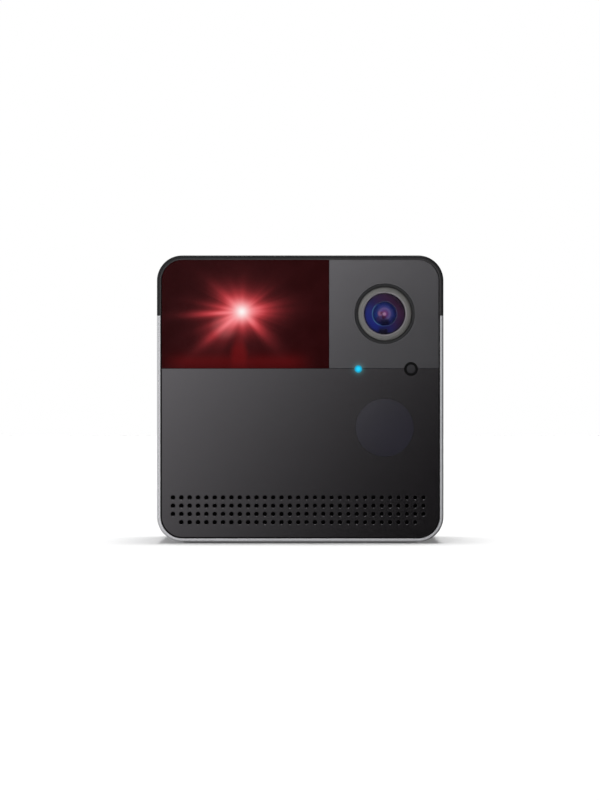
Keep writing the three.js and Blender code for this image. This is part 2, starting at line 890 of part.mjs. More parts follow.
function speakerSurround() {
  const outside = rimInside - seatGap;
  const inside = outside - surroundWidth;
  const halfWidth = surroundWidth / 2;
  const roll = (lift) =>
    Array.from({ length: domeSteps + 1 }, (_, i) => {
      const angle = (2 * quarter * i) / domeSteps;
      const reach = inside + halfWidth - halfWidth * Math.cos(angle);
      return [reach, coneEdge + lift - surroundHeight * Math.sin(angle)];
    });
  return turned("y", ownAxis, [...roll(0), ...roll(surroundThickness).reverse()], roundSides);
}

function speakerCone() {
  return turned(
    "y",
    ownAxis,
    [
      [0, coneBack - coneEdge - capRise],
      [coilRadius / 2, coneBack - coneEdge - capShoulder],
      [coilRadius, coneBack - coneEdge],
      [coneRadius, coneEdge],
      [coneRadius, 2 * coneEdge],
      [coilRadius, coneBack],
      [coilRadius / 2, coneBack - capShoulder],
      [0, coneBack - capRise],
    ],
    roundSides,
  );
}

function voiceCoil() {
  const from = coneBack + seatGap;
  return turned(
    "y",
    ownAxis,
    [
      [coilRadius - coilWall, from],
      [coilRadius, from],
      [coilRadius, from + coilLength],
      [coilRadius - coilWall, from + coilLength],
    ],
    roundSides,
  );
}

function speakerMagnet() {
  const coilMiddle = coilRadius - coilWall / 2;
  const end = magnetFront + magnetLength;
  return turned(
    "y",
    ownAxis,
    [
      [0, magnetFront],
      [coilMiddle - coilGapHalf, magnetFront],
      [coilMiddle - coilGapHalf, magnetFront + coilGapDepth],
      [coilMiddle + coilGapHalf, magnetFront + coilGapDepth],
      [coilMiddle + coilGapHalf, magnetFront],
      [magnetRadius, magnetFront],
      [magnetRadius, end],
      [0, end],
    ],
    roundSides,
  );
}

// Gears: involute flanks at a pressure angle of 20 degrees, and an arc of teeth or the whole wheel
const pressureAngle = Math.PI / 9;

function gearShape(teeth, addendum, dedendum, count, middleAngle) {
  const pitch = (gearModule * teeth) / 2;
  const base = pitch * Math.cos(pressureAngle);
  const tip = pitch + addendum;
  const root = pitch - dedendum;
  const spread = (r) => {
    const roll = Math.sqrt(Math.max((r / base) ** 2 - 1, 0));
    return roll - Math.atan(roll);
  };
  const halfTooth = quarter / teeth - backlash / (2 * pitch) / 2;
  const halfAngle = (r) => halfTooth + spread(pitch) - spread(r);
  const flank = [root, Math.max(base, root), pitch, tip];
  const points = [];
  const add = (r, angle) => points.push(new THREE.Vector2(r * Math.cos(angle), r * Math.sin(angle)));
  const step = (4 * quarter) / teeth;
  const start = middleAngle - ((count - 1) / 2) * step;
  if (count < teeth) {
    add(0, 0);
    add(root, start - step / 2);
  }
  for (let i = 0; i < count; i += 1) {
    const centre = start + i * step;
    flank.forEach((r) => add(r, centre - halfAngle(r)));
    [...flank].reverse().forEach((r) => add(r, centre + halfAngle(r)));
  }
  if (count < teeth) add(root, start + count * step - step / 2);
  return new THREE.Shape(points);
}

const gearAddendum = gearModule * gearAddendumShare;
const pinionAddendum = gearModule * pinionAddendumShare;

function gearArc(teeth, count, middleAngle) {
  return gearShape(teeth, gearAddendum, pinionAddendum + tipClearance, count, middleAngle);
}

// A pinion has a gap, and not a tooth, where the wheel's middle tooth comes.
function pinionShape(wheelAngle) {
  const step = (4 * quarter) / pinionTeeth;
  const first = wheelAngle + step / 2;
  const middleAngle = first + ((pinionTeeth - 1) / 2) * step;
  return gearShape(pinionTeeth, pinionAddendum, gearAddendum + tipClearance, pinionTeeth, middleAngle);
}

// Laser head: every size below is measured from the pivot
const bracketFrontReach = flangeBack + seatGap - (front + pivotDepth);
const bracketScrewUp = pivotUp + bracketBottom - bracketScrewDrop;
const pinionTop = -panGearDrop + (pinionLength - gearThickness) / 2;

function laserBracket() {
  const sheet = new THREE.Shape();
  sheet.moveTo(bracketFrontReach, -bracketDrop);
  sheet.lineTo(bracketFrontReach, bracketFlangeLow);
  sheet.lineTo(bracketFrontReach + bracketThickness, bracketFlangeLow);
  sheet.lineTo(bracketFrontReach + bracketThickness, bracketBottom);
  sheet.lineTo(bracketBehind, bracketBottom);
  sheet.lineTo(bracketBehind, -bracketDrop);
  const gusset = new THREE.Shape();
  gusset.moveTo(bracketFrontReach, bracketBottom + bracketThickness / 2);
  gusset.lineTo(bracketFrontReach, bracketBottom - gussetReach);
  gusset.lineTo(bracketFrontReach + bracketThickness, bracketBottom - gussetReach);
  gusset.lineTo(bracketFrontReach + bracketThickness + gussetReach, bracketBottom);
  gusset.lineTo(bracketFrontReach + bracketThickness + gussetReach, bracketBottom + bracketThickness / 2);
  const below = bracketBottom - overrun;
  const above = overrun - bracketDrop;
  const screwUp = bracketBottom - bracketScrewDrop;
  const screwHoles = [-bracketScrewAcross, bracketScrewAcross].map((x) =>
    rod("y", [x, 0, screwUp], screwShank + seatGap, bracketFrontReach - overrun, 0, smallSides),
  );
  return cut(
    join(
      pushed("x", sheet, -bracketHalfWidth, bracketHalfWidth),
      pushed("x", gusset, -bracketHalfWidth, gussetThickness - bracketHalfWidth),
      pushed("x", gusset, bracketHalfWidth - gussetThickness, bracketHalfWidth),
    ),
    rod("z", ownAxis, bushRadius + seatGap, below, above),
    rod("z", [0, panReach, 0], motorBoss + seatGap, below, above),
    ...screwHoles,
  );
}

function panBush() {
  const flangeTop = -bracketDrop + seatGap + bushFlangeHeight;
  return turned("z", ownAxis, [
    [panShaftRadius + runGap, bracketBottom],
    [bushRadius, bracketBottom],
    [bushRadius, seatGap - bracketDrop],
    [bushFlange, seatGap - bracketDrop],
    [bushFlange, flangeTop],
    [panShaftRadius + runGap, flangeTop],
  ]);
}

function panClip() {
  const clipTop = bracketBottom - clipDrop;
  return turned("z", ownAxis, [
    [panShaftRadius + seatGap, clipTop - clipThickness],
    [clipRadius, clipTop - clipThickness],
    [clipRadius, clipTop],
    [panShaftRadius + seatGap, clipTop],
  ]);
}

// A small can motor along its axis, with a boss round the hole for the pinion's shaft.
function motor(axis, place, radius, faceAt, length, toward) {
  const end = faceAt - toward * length;
  const boss = faceAt + toward * motorBossHeight;
  const hole = [faceAt - toward * (shaftDepth + overrun), boss + toward * overrun];
  const ordered = (a, b) => [Math.min(a, b), Math.max(a, b)];
  return cut(
    join(
      rod(axis, place, radius, ...ordered(faceAt, end)),
      rod(axis, place, motorBoss, ...ordered(faceAt - toward * overrun, boss)),
    ),
    rod(axis, place, pinionShaft + runGap, ...ordered(...hole), smallSides),
  );
}

function panPinion() {
  const pinionLow = pinionTop - pinionLength;
  return join(
    pushed("z", pinionShape(-quarter), pinionLow, pinionTop),
    rod("z", ownAxis, pinionShaft, bracketBottom - shaftDepth, pinionTop, smallSides),
  );
}

function panYoke() {
  const base = -yokeFloor - armThickness;
  const leftArm = new THREE.Shape();
  leftArm.moveTo(-armHalfWidth, base);
  leftArm.lineTo(armHalfWidth, base);
  leftArm.absarc(0, 0, armHalfWidth, 0, 2 * quarter, false);
  const rightArm = new THREE.Shape();
  rightArm.moveTo(-armHalfWidth, base);
  rightArm.lineTo(yokeBaseHalf, base);
  rightArm.lineTo(tiltReach + armHalfWidth, -armHalfWidth);
  rightArm.absarc(tiltReach, 0, armHalfWidth, 0, quarter, false);
  rightArm.absarc(0, 0, armHalfWidth, quarter, 2 * quarter, false);
  const gearLow = -panGearDrop - gearThickness;
  const hubLow = -bracketDrop + bushFlangeHeight + 2 * seatGap;
  return cut(
    join(
      block([-armOutside, -yokeBaseHalf, base], [armOutside, yokeBaseHalf, -yokeFloor]),
      pushed("x", leftArm, -armOutside, -armInside),
      pushed("x", rightArm, armInside, armOutside),
      pushed("z", gearArc(panTeeth, panSectorTeeth, quarter), gearLow, -panGearDrop),
      rod("z", ownAxis, panHub, hubLow, base + armThickness / 2),
      rod("z", ownAxis, panShaftRadius, bracketBottom - clipDrop - 2 * clipThickness, base),
    ),
    rod("x", ownAxis, trunnionRadius + runGap, -armOutside - overrun, armOutside + overrun, smallSides),
    rod("x", [0, tiltReach, 0], motorBoss + seatGap, armInside - overrun, armOutside + overrun),
  );
}

function tiltPinion() {
  const lead = (pinionLength - gearThickness) / 2;
  const from = sectorInside - lead;
  return join(
    pushed("x", pinionShape(2 * quarter), from, from + pinionLength),
    rod("x", ownAxis, pinionShaft, from, armOutside + shaftDepth, smallSides),
  );
}

function laserCradle() {
  const body = pushed(
    "y",
    rounded(-cradleHalf, cradleHalf, -cradleHalf, cradleHalf, cradleRounding),
    -cradleFront,
    cradleBack,
  );
  const sectorAngle = (tiltSectorShift * 4 * quarter) / tiltTeeth;
  const tiltSector = gearArc(tiltTeeth, tiltSectorTeeth, sectorAngle);
  const pinReach = armOutside + looseGap;
  return cut(
    join(
      body,
      rod("x", ownAxis, trunnionRadius, -pinReach, pinReach, smallSides),
      rod("x", ownAxis, sectorHub, cradleHalf - overrun, sectorInside + gearThickness),
      pushed("x", tiltSector, sectorInside, sectorInside + gearThickness),
    ),
    rod("y", ownAxis, moduleRadius + seatGap, -cradleFront - overrun, cradleBack + overrun),
  );
}

function laserModule() {
  return turned("y", ownAxis, [
    [0, laserLensDepth - moduleFront],
    [moduleRadius - moduleLip, laserLensDepth - moduleFront],
    [moduleRadius - moduleLip, -moduleFront],
    [moduleRadius, -moduleFront],
    [moduleRadius, moduleBack],
    [0, moduleBack],
  ]);
}

function laserLens() {
  const radius = moduleRadius - moduleLip - seatGap;
  const thickness = laserLensDepth - 2 * seatGap;
  return lens(radius, seatGap - moduleFront, thickness, laserLensSag, 0, smallSides);
}

// Main board with its ribbon plug, and what sits on it
const boardPegPlaces = cornerPlaces(half - mainBoardHalf + standoffInset);
const mainPlugUp = middle - plugWidth / 2;

function mainBoard() {
  const low = middle - mainBoardHalf;
  const high = middle + mainBoardHalf;
  const shape = rounded(-mainBoardHalf, mainBoardHalf, low, high, mainBoardRounding);
  const holes = boardPegPlaces.map(([x, z]) =>
    rod("y", [x, 0, z], pegPin + seatGap, mainBoardFront - overrun, mainBoardRear + overrun, smallSides),
  );
  const plug = block(
    [lensAcross - plugWidth / 2, mainBoardFront - plugThickness, mainPlugUp],
    [lensAcross + plugWidth / 2, mainBoardRear, mainPlugUp + plugHeight],
  );
  return join(cut(pushed("y", shape, mainBoardFront, mainBoardRear), ...holes), plug);
}

// A flat block on the front of the main board.
function onBoard(across, up, width, height, thickness) {
  const face = mainBoardFront - seatGap;
  return block(
    [across - width / 2, face - thickness, middle + up - height / 2],
    [across + width / 2, face, middle + up + height / 2],
  );
}

function heatSink() {
  const baseBack = mainBoardFront - chipHeight - 2 * seatGap;
  const baseFront = baseBack - sinkBase;
  const pitch = (sinkSide - sinkFinThickness) / (sinkFins - 1);
  const comb = new THREE.Shape();
  const left = chipAcross - sinkSide / 2;
  comb.moveTo(left, baseBack);
  for (let i = 0; i < sinkFins; i += 1) {
    const x = left + i * pitch;
    comb.lineTo(x, baseFront);
    comb.lineTo(x, baseFront - sinkFinHeight);
    comb.lineTo(x + sinkFinThickness, baseFront - sinkFinHeight);
    comb.lineTo(x + sinkFinThickness, baseFront);
  }
  comb.lineTo(left + sinkSide, baseBack);
  const up = middle + chipUp;
  return pushed("z", comb, up - sinkSide / 2, up + sinkSide / 2);
}

function antennaBoard() {
  const ceiling = top - sleeveWall - looseGap - skirtThickness - seatGap;
  const from = flangeBack + antennaStart;
  return block(
    [pivotAcross - antennaWidth / 2, from, ceiling - antennaThickness],
    [pivotAcross + antennaWidth / 2, from + antennaDepth, ceiling],
  );
}

// A flat ribbon from the camera board's plug to the main board's, drawn from the side.
function cameraRibbon() {
  const from = cameraBoardFront + boardThickness + plugThickness + seatGap;
  const to = mainBoardFront - plugThickness - seatGap;
  const startUp = lensUp - plugHeight / 2;
  const endUp = mainPlugUp + plugHeight / 2;
  const run = to - from;
  const path = new THREE.CubicBezierCurve(
    new THREE.Vector2(from, startUp),
    new THREE.Vector2(from + run * ribbonEaseShare, startUp),
    new THREE.Vector2(to - run * ribbonEaseShare, endUp),
    new THREE.Vector2(to, endUp),
  );
  const side = (sign) =>
    Array.from({ length: ribbonSteps + 1 }, (_, i) => {
      const point = path.getPoint(i / ribbonSteps);
      const tangent = path.getTangent(i / ribbonSteps);
      const offset = (sign * ribbonThickness) / 2;
      return new THREE.Vector2(point.x - tangent.y * offset, point.y + tangent.x * offset);
    });
  const shape = new THREE.Shape([...side(-1), ...side(1).reverse()]);
  return pushed("x", shape, lensAcross - ribbonWidth / 2, lensAcross + ribbonWidth / 2);
}

// Rear cover with its vents, standoffs, screw holes, socket well and button hole
const buttonPlace = [buttonAcross, 0, rearRowUp];

function rearCover() {
  const plate = pushed("y", outline(rimWidth + seamGap), coverFront, coverBack);
  const standoffs = boardPegPlaces.flatMap(([x, z]) => [
    rod("y", [x, 0, z], standoffRadius, mainBoardRear + seatGap, coverFront + overrun, smallSides),
    rod("y", [x, 0, z], pegPin, mainBoardFront - pegPinLength / 2, coverFront, smallSides),
  ]);
  const vents = [];
  for (let row = 0; row < ventRows; row += 1) {
    for (let column = 0; column < ventColumns; column += 1) {
      const x = (column - (ventColumns - 1) / 2) * ventPitch;
      const z = middle + ventUp + (row - (ventRows - 1) / 2) * ventRowPitch;
      vents.push(
        block(
          [x - ventWidth / 2, coverFront - overrun, z - ventHeight / 2],
          [x + ventWidth / 2, coverBack + overrun, z + ventHeight / 2],
        ),
      );
    }
  }
  const screwHoles = cornerPlaces(portInset).map(([x, z]) =>
    turned(
      "y",
      [x, 0, z],
      [
        [0, coverFront - overrun],
        [screwShank + runGap, coverFront - overrun],
        [screwShank + runGap, coverBack - screwHeadHeight - seatGap],
        [screwHead + runGap, coverBack - seatGap],
        [screwHead + runGap, coverBack + overrun],
        [0, coverBack + overrun],
      ],
      smallSides,
    ),
  );
  const well = turned("y", [0, 0, rearRowUp], [
    [0, coverFront - overrun],
    [socketWell, coverFront - overrun],
    [socketWell, coverBack - socketWellFlare],
    [socketWell + socketWellFlare, coverBack],
    [socketWell + socketWellFlare, coverBack + overrun],
    [0, coverBack + overrun],
  ]);
  const buttonHole = rod("y", buttonPlace, buttonRadius + runGap, coverFront - overrun, back);
  return cut(join(plate, ...standoffs), ...vents, ...screwHoles, well, buttonHole);
}

function rearScrew() {
  return turned(
    "y",
    ownAxis,
    [
      [0, -screwLength],
      [portBore - seatGap, -screwLength],
      [portBore - seatGap, rearLedge - coverBack],
      [screwShank, rearLedge - coverBack],
      [screwShank, -screwHeadHeight - seatGap],
      [screwHead, -seatGap],
      [0, -seatGap],
    ],
    smallSides,
  );
}

function powerSocket() {
  const noseEnd = coverFront - seatGap;
  const bodyEnd = noseEnd - socketNoseLength;
  const bodyStart = mainBoardRear + seatGap;
  const boreEnd = noseEnd - socketBoreDepth;
  const place = [0, 0, rearRowUp];
  const body = block(
    [-socketWidth / 2, bodyStart, rearRowUp - socketHeight / 2],
    [socketWidth / 2, bodyEnd, rearRowUp + socketHeight / 2],
  );
  return join(
    cut(
      join(body, rod("y", place, socketNose, bodyEnd - overrun, noseEnd)),
      rod("y", place, socketBore, boreEnd, noseEnd + overrun),
    ),
    rod("y", place, socketPin, boreEnd - overrun, noseEnd - socketPinSink, smallSides),
  );
}

const plungerEnd = mainBoardRear + seatGap + plungerFloor + buttonTravel + runGap + plungerLength;

function resetButton() {
  const flangeEnd = coverFront - seatGap;
  return turned("y", buttonPlace, [
    [0, plungerEnd + seatGap],
    [buttonStem, plungerEnd + seatGap],
    [buttonStem, flangeEnd - buttonFlangeHeight],
    [buttonFlange, flangeEnd - buttonFlangeHeight],
    [buttonFlange, flangeEnd],
    [buttonRadius, flangeEnd],
    [buttonRadius, coverBack + buttonProud],
    [0, coverBack + buttonProud],
  ]);
}

function switchPlunger() {
  return rod("y", buttonPlace, plungerRadius, plungerEnd - plungerLength, plungerEnd, smallSides);
}

function resetSwitch() {
  const at = mainBoardRear + seatGap;
  const reach = switchSide / 2;
  const body = block(
    [buttonAcross - reach, at, rearRowUp - reach],
    [buttonAcross + reach, at + switchHeight, rearRowUp + reach],
  );
  return cut(body, rod("y", buttonPlace, plungerRadius + runGap, at + plungerFloor, back));
}

// Foot and tripod socket under the sleeve
function rubberFoot() {
  const reach = footSide / 2 - seatGap;
  const pad = rounded(-reach, reach, -reach, reach, footRounding);
  const hole = new THREE.Path();
  hole.absarc(0, 0, footHole, 0, 4 * quarter, false);
  pad.holes.push(hole);
  return pushed("z", pad, 0, footDrop + footSeat - seatGap);
}

function tripodSocket() {
  const low = footDrop + footSeat;
  const crown = low + tripodBoreDepth + tripodCrown;
  return turned("z", ownAxis, [
    [tripodBore, low],
    [tripodRadius, low],
    [tripodRadius, sleeveFloor + seatGap],
    [tripodFlange, sleeveFloor + seatGap],
    [tripodFlange, sleeveFloor + seatGap + tripodFlangeHeight],
    [tripodRadius, sleeveFloor + seatGap + tripodFlangeHeight],
    [tripodRadius, crown],
    [0, crown],
    [0, low + tripodBoreDepth],
    [tripodBore, low + tripodBoreDepth],
  ]);
}

function bracketScrew() {
  const tip = flangeFront - flangeBack - seatGap;
  return turned(
    "y",
    ownAxis,
    [
      [0, tip],
      [portBore - seatGap, tip],
      [portBore - seatGap, seatGap + bracketThickness],
      [screwHead, seatGap + bracketThickness],
      [screwHead, bracketThickness + screwHeadHeight],
      [0, bracketThickness + screwHeadHeight],
    ],
    smallSides,
  );
}

// Assembly
const petCamera = new THREE.Group();
put(petCamera, "body_sleeve", bodySleeve(), aluminium);
put(petCamera, "antenna_window", antennaWindow(), windowBlack);
put(petCamera, "laser_window", laserWindow(), redFilter);
put(petCamera, "camera_panel", cameraPanel(), smokedGrey);
put(petCamera, "speaker_panel", speakerPanel(), panelBlack);
put(petCamera, "sensor_cover", sensorCover(), sensorTint);
put(petCamera, "front_chassis", frontChassis(), mouldedBlack);
put(petCamera, "status_light_pipe", statusLightPipe(), litBlue);
put(petCamera, "status_diode", statusDiode(), diodeWhite);
put(petCamera, "mic_boot", micBoot(), rubberBlack);
put(petCamera, "microphone", microphone(), steel);
put(petCamera, "motion_sensor", motionSensor(), steel);
put(petCamera, "sensor_board", sensorBoard(), boardGreen);
put(petCamera, "camera_board", cameraBoard(), boardGreen);

const lensGroup = new THREE.Group();
lensGroup.position.set(lensAcross, panelFront, lensUp);
petCamera.add(lensGroup);
const boardBehindPanel = cameraBoardFront - panelFront;
const irisFront = barrelFront + barrelStep - seatGap - irisThickness;
const innerLensAt = irisFront - seatGap - innerLensThickness;
const rearLensAt = barrelFront + barrelLength - rearLensThickness;
const frontLens = lens(frontLensRadius, frontLensAt, frontLensThickness, frontLensSag, 0);
const innerLens = lens(barrelBore - seatGap, innerLensAt, innerLensThickness, innerLensSag, innerLensSag);
const rearLens = lens(rearBore - seatGap, rearLensAt, rearLensThickness, innerLensSag, 0);
put(lensGroup, "lens_ring", lensRing(), bezelGrey);
put(lensGroup, "front_lens", frontLens, coatedGlass);
put(lensGroup, "lens_barrel", lensBarrel(), mouldedBlack);
put(lensGroup, "inner_lens", innerLens, clearGlass);
put(lensGroup, "lens_iris", lensIris(), mouldedBlack);
put(lensGroup, "rear_lens", rearLens, clearGlass);
put(lensGroup, "lens_holder", lensHolder(boardBehindPanel), mouldedBlack);
put(lensGroup, "image_sensor", imageSensor(boardBehindPanel), chipBlack);

put(petCamera, "acoustic_mesh", acousticMesh(), clothBlack);
put(petCamera, "speaker_tray", speakerTray(), mouldedBlack);
const driver = new THREE.Group();
driver.position.set(driverAcross, trayBack + seatGap, driverUp);
petCamera.add(driver);
put(driver, "speaker_frame", speakerFrame(), steel);
put(driver, "speaker_surround", speakerSurround(), rubberBlack);
put(driver, "speaker_cone", speakerCone(), paperGrey);
put(driver, "voice_coil", voiceCoil(), copper);
put(driver, "speaker_magnet", speakerMagnet(), ferrite);

const laserHead = new THREE.Group();
laserHead.position.set(pivotAcross, front + pivotDepth, pivotUp);
petCamera.add(laserHead);
put(laserHead, "laser_bracket", laserBracket(), steel);
put(laserHead, "pan_bush", panBush(), bronze);
const panMotor = motor("z", [0, panReach, 0], motorRadius, bracketBottom - seatGap, motorLength, 1);
put(laserHead, "pan_motor", panMotor, steel);
put(laserHead, "pan_pinion", panPinion(), brass).position.y = panReach;
put(laserHead, "pan_yoke", panYoke(), gearWhite);
put(laserHead, "pan_clip", panClip(), steel);
const tiltMotor = motor("x", [0, tiltReach, 0], tiltMotorRadius, armOutside + seatGap, tiltMotorLength, -1);
put(laserHead, "tilt_motor", tiltMotor, steel);
put(laserHead, "tilt_pinion", tiltPinion(), brass).position.y = tiltReach;
put(laserHead, "laser_cradle", laserCradle(), gearWhite);
put(laserHead, "laser_module", laserModule(), brass);
put(laserHead, "laser_lens", laserLens(), clearGlass);
[-1, 1].forEach((side, i) => {
  const screw = put(laserHead, `bracket_screw_${i + 1}`, bracketScrew(), steel);
  screw.position.set(side * bracketScrewAcross, bracketFrontReach, bracketBottom - bracketScrewDrop);
});

put(petCamera, "main_board", mainBoard(), boardGreen);
const shieldUp = mainBoardHalf - shieldInset;
const shield = onBoard(shieldAcross, shieldUp, shieldWidth, shieldHeight, shieldThickness);
put(petCamera, "processor", onBoard(chipAcross, chipUp, chipSide, chipSide, chipHeight), chipBlack);
put(petCamera, "heat_sink", heatSink(), aluminium);
put(petCamera, "radio_shield", shield, steel);
put(petCamera, "antenna_board", antennaBoard(), boardGreen);
put(petCamera, "camera_ribbon", cameraRibbon(), ribbonBrown);

put(petCamera, "rear_cover", rearCover(), mouldedBlack);
put(petCamera, "power_socket", powerSocket(), mouldedBlack);
put(petCamera, "reset_button", resetButton(), rubberBlack);
put(petCamera, "switch_plunger", switchPlunger(), mouldedBlack);
put(petCamera, "reset_switch", resetSwitch(), steel);
cornerPlaces(portInset).forEach(([x, z], i) => {
  put(petCamera, `rear_screw_${i + 1}`, rearScrew(), steel).position.set(x, coverBack, z);
});

put(petCamera, "rubber_foot", rubberFoot(), rubberBlack);
put(petCamera, "tripod_socket", tripodSocket(), brass);

export default petCamera;
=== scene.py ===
# Interactive pet camera: finer pieces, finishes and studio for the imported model.
import math
import bpy
import bmesh
from mathutils import Matrix, Vector


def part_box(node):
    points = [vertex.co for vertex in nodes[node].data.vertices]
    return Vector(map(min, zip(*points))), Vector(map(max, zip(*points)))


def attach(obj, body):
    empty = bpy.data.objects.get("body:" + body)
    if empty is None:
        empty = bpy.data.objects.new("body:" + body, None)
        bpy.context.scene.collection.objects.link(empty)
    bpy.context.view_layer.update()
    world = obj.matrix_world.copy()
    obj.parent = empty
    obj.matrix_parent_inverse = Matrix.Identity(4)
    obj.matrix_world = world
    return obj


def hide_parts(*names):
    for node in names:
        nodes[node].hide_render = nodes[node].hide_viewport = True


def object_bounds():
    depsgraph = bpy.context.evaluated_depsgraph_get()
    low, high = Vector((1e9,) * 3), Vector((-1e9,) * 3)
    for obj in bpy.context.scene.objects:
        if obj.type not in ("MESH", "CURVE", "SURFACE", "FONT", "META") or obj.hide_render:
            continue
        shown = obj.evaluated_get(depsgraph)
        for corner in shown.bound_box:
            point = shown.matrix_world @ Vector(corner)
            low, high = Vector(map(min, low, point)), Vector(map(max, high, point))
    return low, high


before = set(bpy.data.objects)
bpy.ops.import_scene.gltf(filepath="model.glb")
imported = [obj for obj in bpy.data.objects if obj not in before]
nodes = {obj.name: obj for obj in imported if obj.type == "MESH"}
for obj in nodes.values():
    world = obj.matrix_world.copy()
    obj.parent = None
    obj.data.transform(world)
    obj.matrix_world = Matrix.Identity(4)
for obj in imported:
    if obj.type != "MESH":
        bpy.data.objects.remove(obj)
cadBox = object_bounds()
mm = 0.001
print("frame loaded:", len(nodes), "nodes")

# Camera: a long lens straight at the front, with its places in metres
view = {
    "distance": 2.0,  # from the front face
    "pictureHeight": 0.28362,  # how much of the front face's plane it takes in
    "across": -0.00007,
    "up": 0.05081,
    "film": 36,  # the sensor's height, in millimetres
    "farthest": 50,
}
frontFace = cadBox[0][1]
cameraData = bpy.data.cameras.new("studioCamera")
cameraData.sensor_fit = "VERTICAL"
cameraData.sensor_height = view["film"]
cameraData.lens = view["film"] * view["distance"] / view["pictureHeight"]
cameraData.clip_end = view["farthest"]
studioCamera = bpy.data.objects.new("studioCamera", cameraData)
studioCamera.location = (view["across"], frontFace - view["distance"], view["up"])
studioCamera.rotation_euler = (math.pi / 2, 0, 0)
bpy.context.scene.collection.objects.link(studioCamera)
bpy.context.scene.camera = studioCamera
bpy.context.scene.view_settings.view_transform = "Standard"
print("camera set")

# Shapes, all drawn in millimetres
past = 1  # how far a cutter runs past what it cuts
tiny = {"merge": 0.0005, "cut": 0.0001, "sliver": 0.0002, "same": 0.01}  # distances that count as none
crispAngle = 44  # an edge that turns by more than this looks sharp


def isVert(item):
    return isinstance(item, bmesh.types.BMVert)


def isEdge(item):
    return isinstance(item, bmesh.types.BMEdge)


def corners(node):
    low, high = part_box(node)
    return low / mm, high / mm


def middleOf(node):
    low, high = corners(node)
    return (low + high) / 2


# The axis of what is turned at a place: a point of it at Y zero.
def axisAt(place):
    return (place.x, 0, place.z)


def arc(centre, radius, start, end, steps):
    turns = [math.radians(start + (end - start) * i / steps) for i in range(steps + 1)]
    return [(centre[0] + radius * math.cos(t), centre[1] + radius * math.sin(t)) for t in turns]


# Part of a section that is measured from a face: each point is its radius and how far it lies beyond.
def fromFace(face, points):
    return [(radius, face + further) for radius, further in points]


def loopOf(bm, points, closed=True):
    verts = [bm.verts.new(point) for point in points]
    ends = verts[1:] + verts[:1] if closed else verts[1:]
    return verts + [bm.edges.new(pair) for pair in zip(verts, ends)]


def closeUp(bm):
    bmesh.ops.remove_doubles(bm, verts=bm.verts, dist=tiny["merge"])
    bmesh.ops.recalc_face_normals(bm, faces=bm.faces)
    return bm


def bevelled(bm, edges, width, segments):
    bmesh.ops.bevel(
        bm, geom=edges, offset=width, offset_type="OFFSET", segments=segments, profile=0.5,
        affect="EDGES", material=-1, clamp_overlap=True,
    )
    return bm


# A block between two corners, with its four edges along one axis rounded.
def roundedBlock(low, high, radius=0, steps=12, along=1):
    bm = bmesh.new()
    low, high = Vector(low), Vector(high)
    bmesh.ops.create_cube(bm, size=1)
    bmesh.ops.scale(bm, vec=high - low, verts=bm.verts)
    bmesh.ops.translate(bm, vec=(low + high) / 2, verts=bm.verts)
    if radius:
        sides = [e for e in bm.edges if abs((e.verts[0].co - e.verts[1].co)[along]) > tiny["same"]]
        bevelled(bm, sides, radius, steps)
    return closeUp(bm)


# A turned shape: each point of its section is a radius and a place along the axis, which is Y or Z.
def turned(section, centre=(0, 0, 0), axis="y", steps=64, closed=False, rise=0, turns=1):
    bm = bmesh.new()
    line = Vector((0, 1, 0) if axis == "y" else (0, 0, 1))
    points = [Vector(centre) + Vector((radius, 0, 0)) + along * line for radius, along in section]
    bmesh.ops.spin(
        bm, geom=loopOf(bm, points, closed), cent=centre, axis=line, dvec=line * rise / steps,
        angle=2 * math.pi * turns, steps=steps * turns, use_merge=rise == 0, use_duplicate=False,
    )
    return closeUp(bm)


# A drill from a hole's deep end to the face where it comes out, and may widen.
def drill(deep, face, radius, flare=0, lip=0, centre=(0, 0, 0), axis="y", steps=64):
    out = 1 if face > deep else -1
    section = [(0, deep), (radius, deep)]
    if flare:
        section += [(radius, face - out * (lip + flare)), (radius + flare, face - out * lip)]
    section += [(radius + flare, face + out * past), (0, face + out * past)]
    return turned(section, centre, axis, steps)


# Bevels the edges that turn by more than the given angle, on all of a shape or where a test holds.
def softened(bm, width, angle=40, segments=2, where=lambda e: True):
    sharp = [e for e in bm.edges if len(e.link_faces) == 2 and e.calc_face_angle(0) > math.radians(angle)]
    return bevelled(bm, [e for e in sharp if where(e)], width, segments)


# A test for the edges of a face: the axis that the face is square to, and where it lies.
def lyingAt(axis, level):
    return lambda e: all(abs(v.co[axis] - level) < tiny["same"] for v in e.verts)


# Cuts away what lies beyond a plane, on the side that the direction points to.
def cutOff(bm, point, direction):
    cut = bmesh.ops.bisect_plane(
        bm, geom=bm.verts[:] + bm.edges[:] + bm.faces[:], dist=tiny["cut"], plane_co=point,
        plane_no=direction, clear_outer=True,
    )
    bmesh.ops.holes_fill(bm, edges=[e for e in cut["geom_cut"] if isEdge(e)], sides=0)
    return bm


# Repeats a shape at each place, moving the first one last.
def copies(bm, places):
    first = bm.verts[:] + bm.edges[:] + bm.faces[:]
    for place in places[1:]:
        grown = bmesh.ops.duplicate(bm, geom=first)["geom"]
        bmesh.ops.translate(bm, verts=[v for v in grown if isVert(v)], vec=place)
    bmesh.ops.translate(bm, verts=[v for v in first if isVert(v)], vec=places[0])
    return bm


def loose(bm, name):
    mesh = bpy.data.meshes.new(name)
    bm.to_mesh(mesh)
    bm.free()
    piece = bpy.data.objects.new(name, mesh)
    bpy.context.scene.collection.objects.link(piece)
    return piece


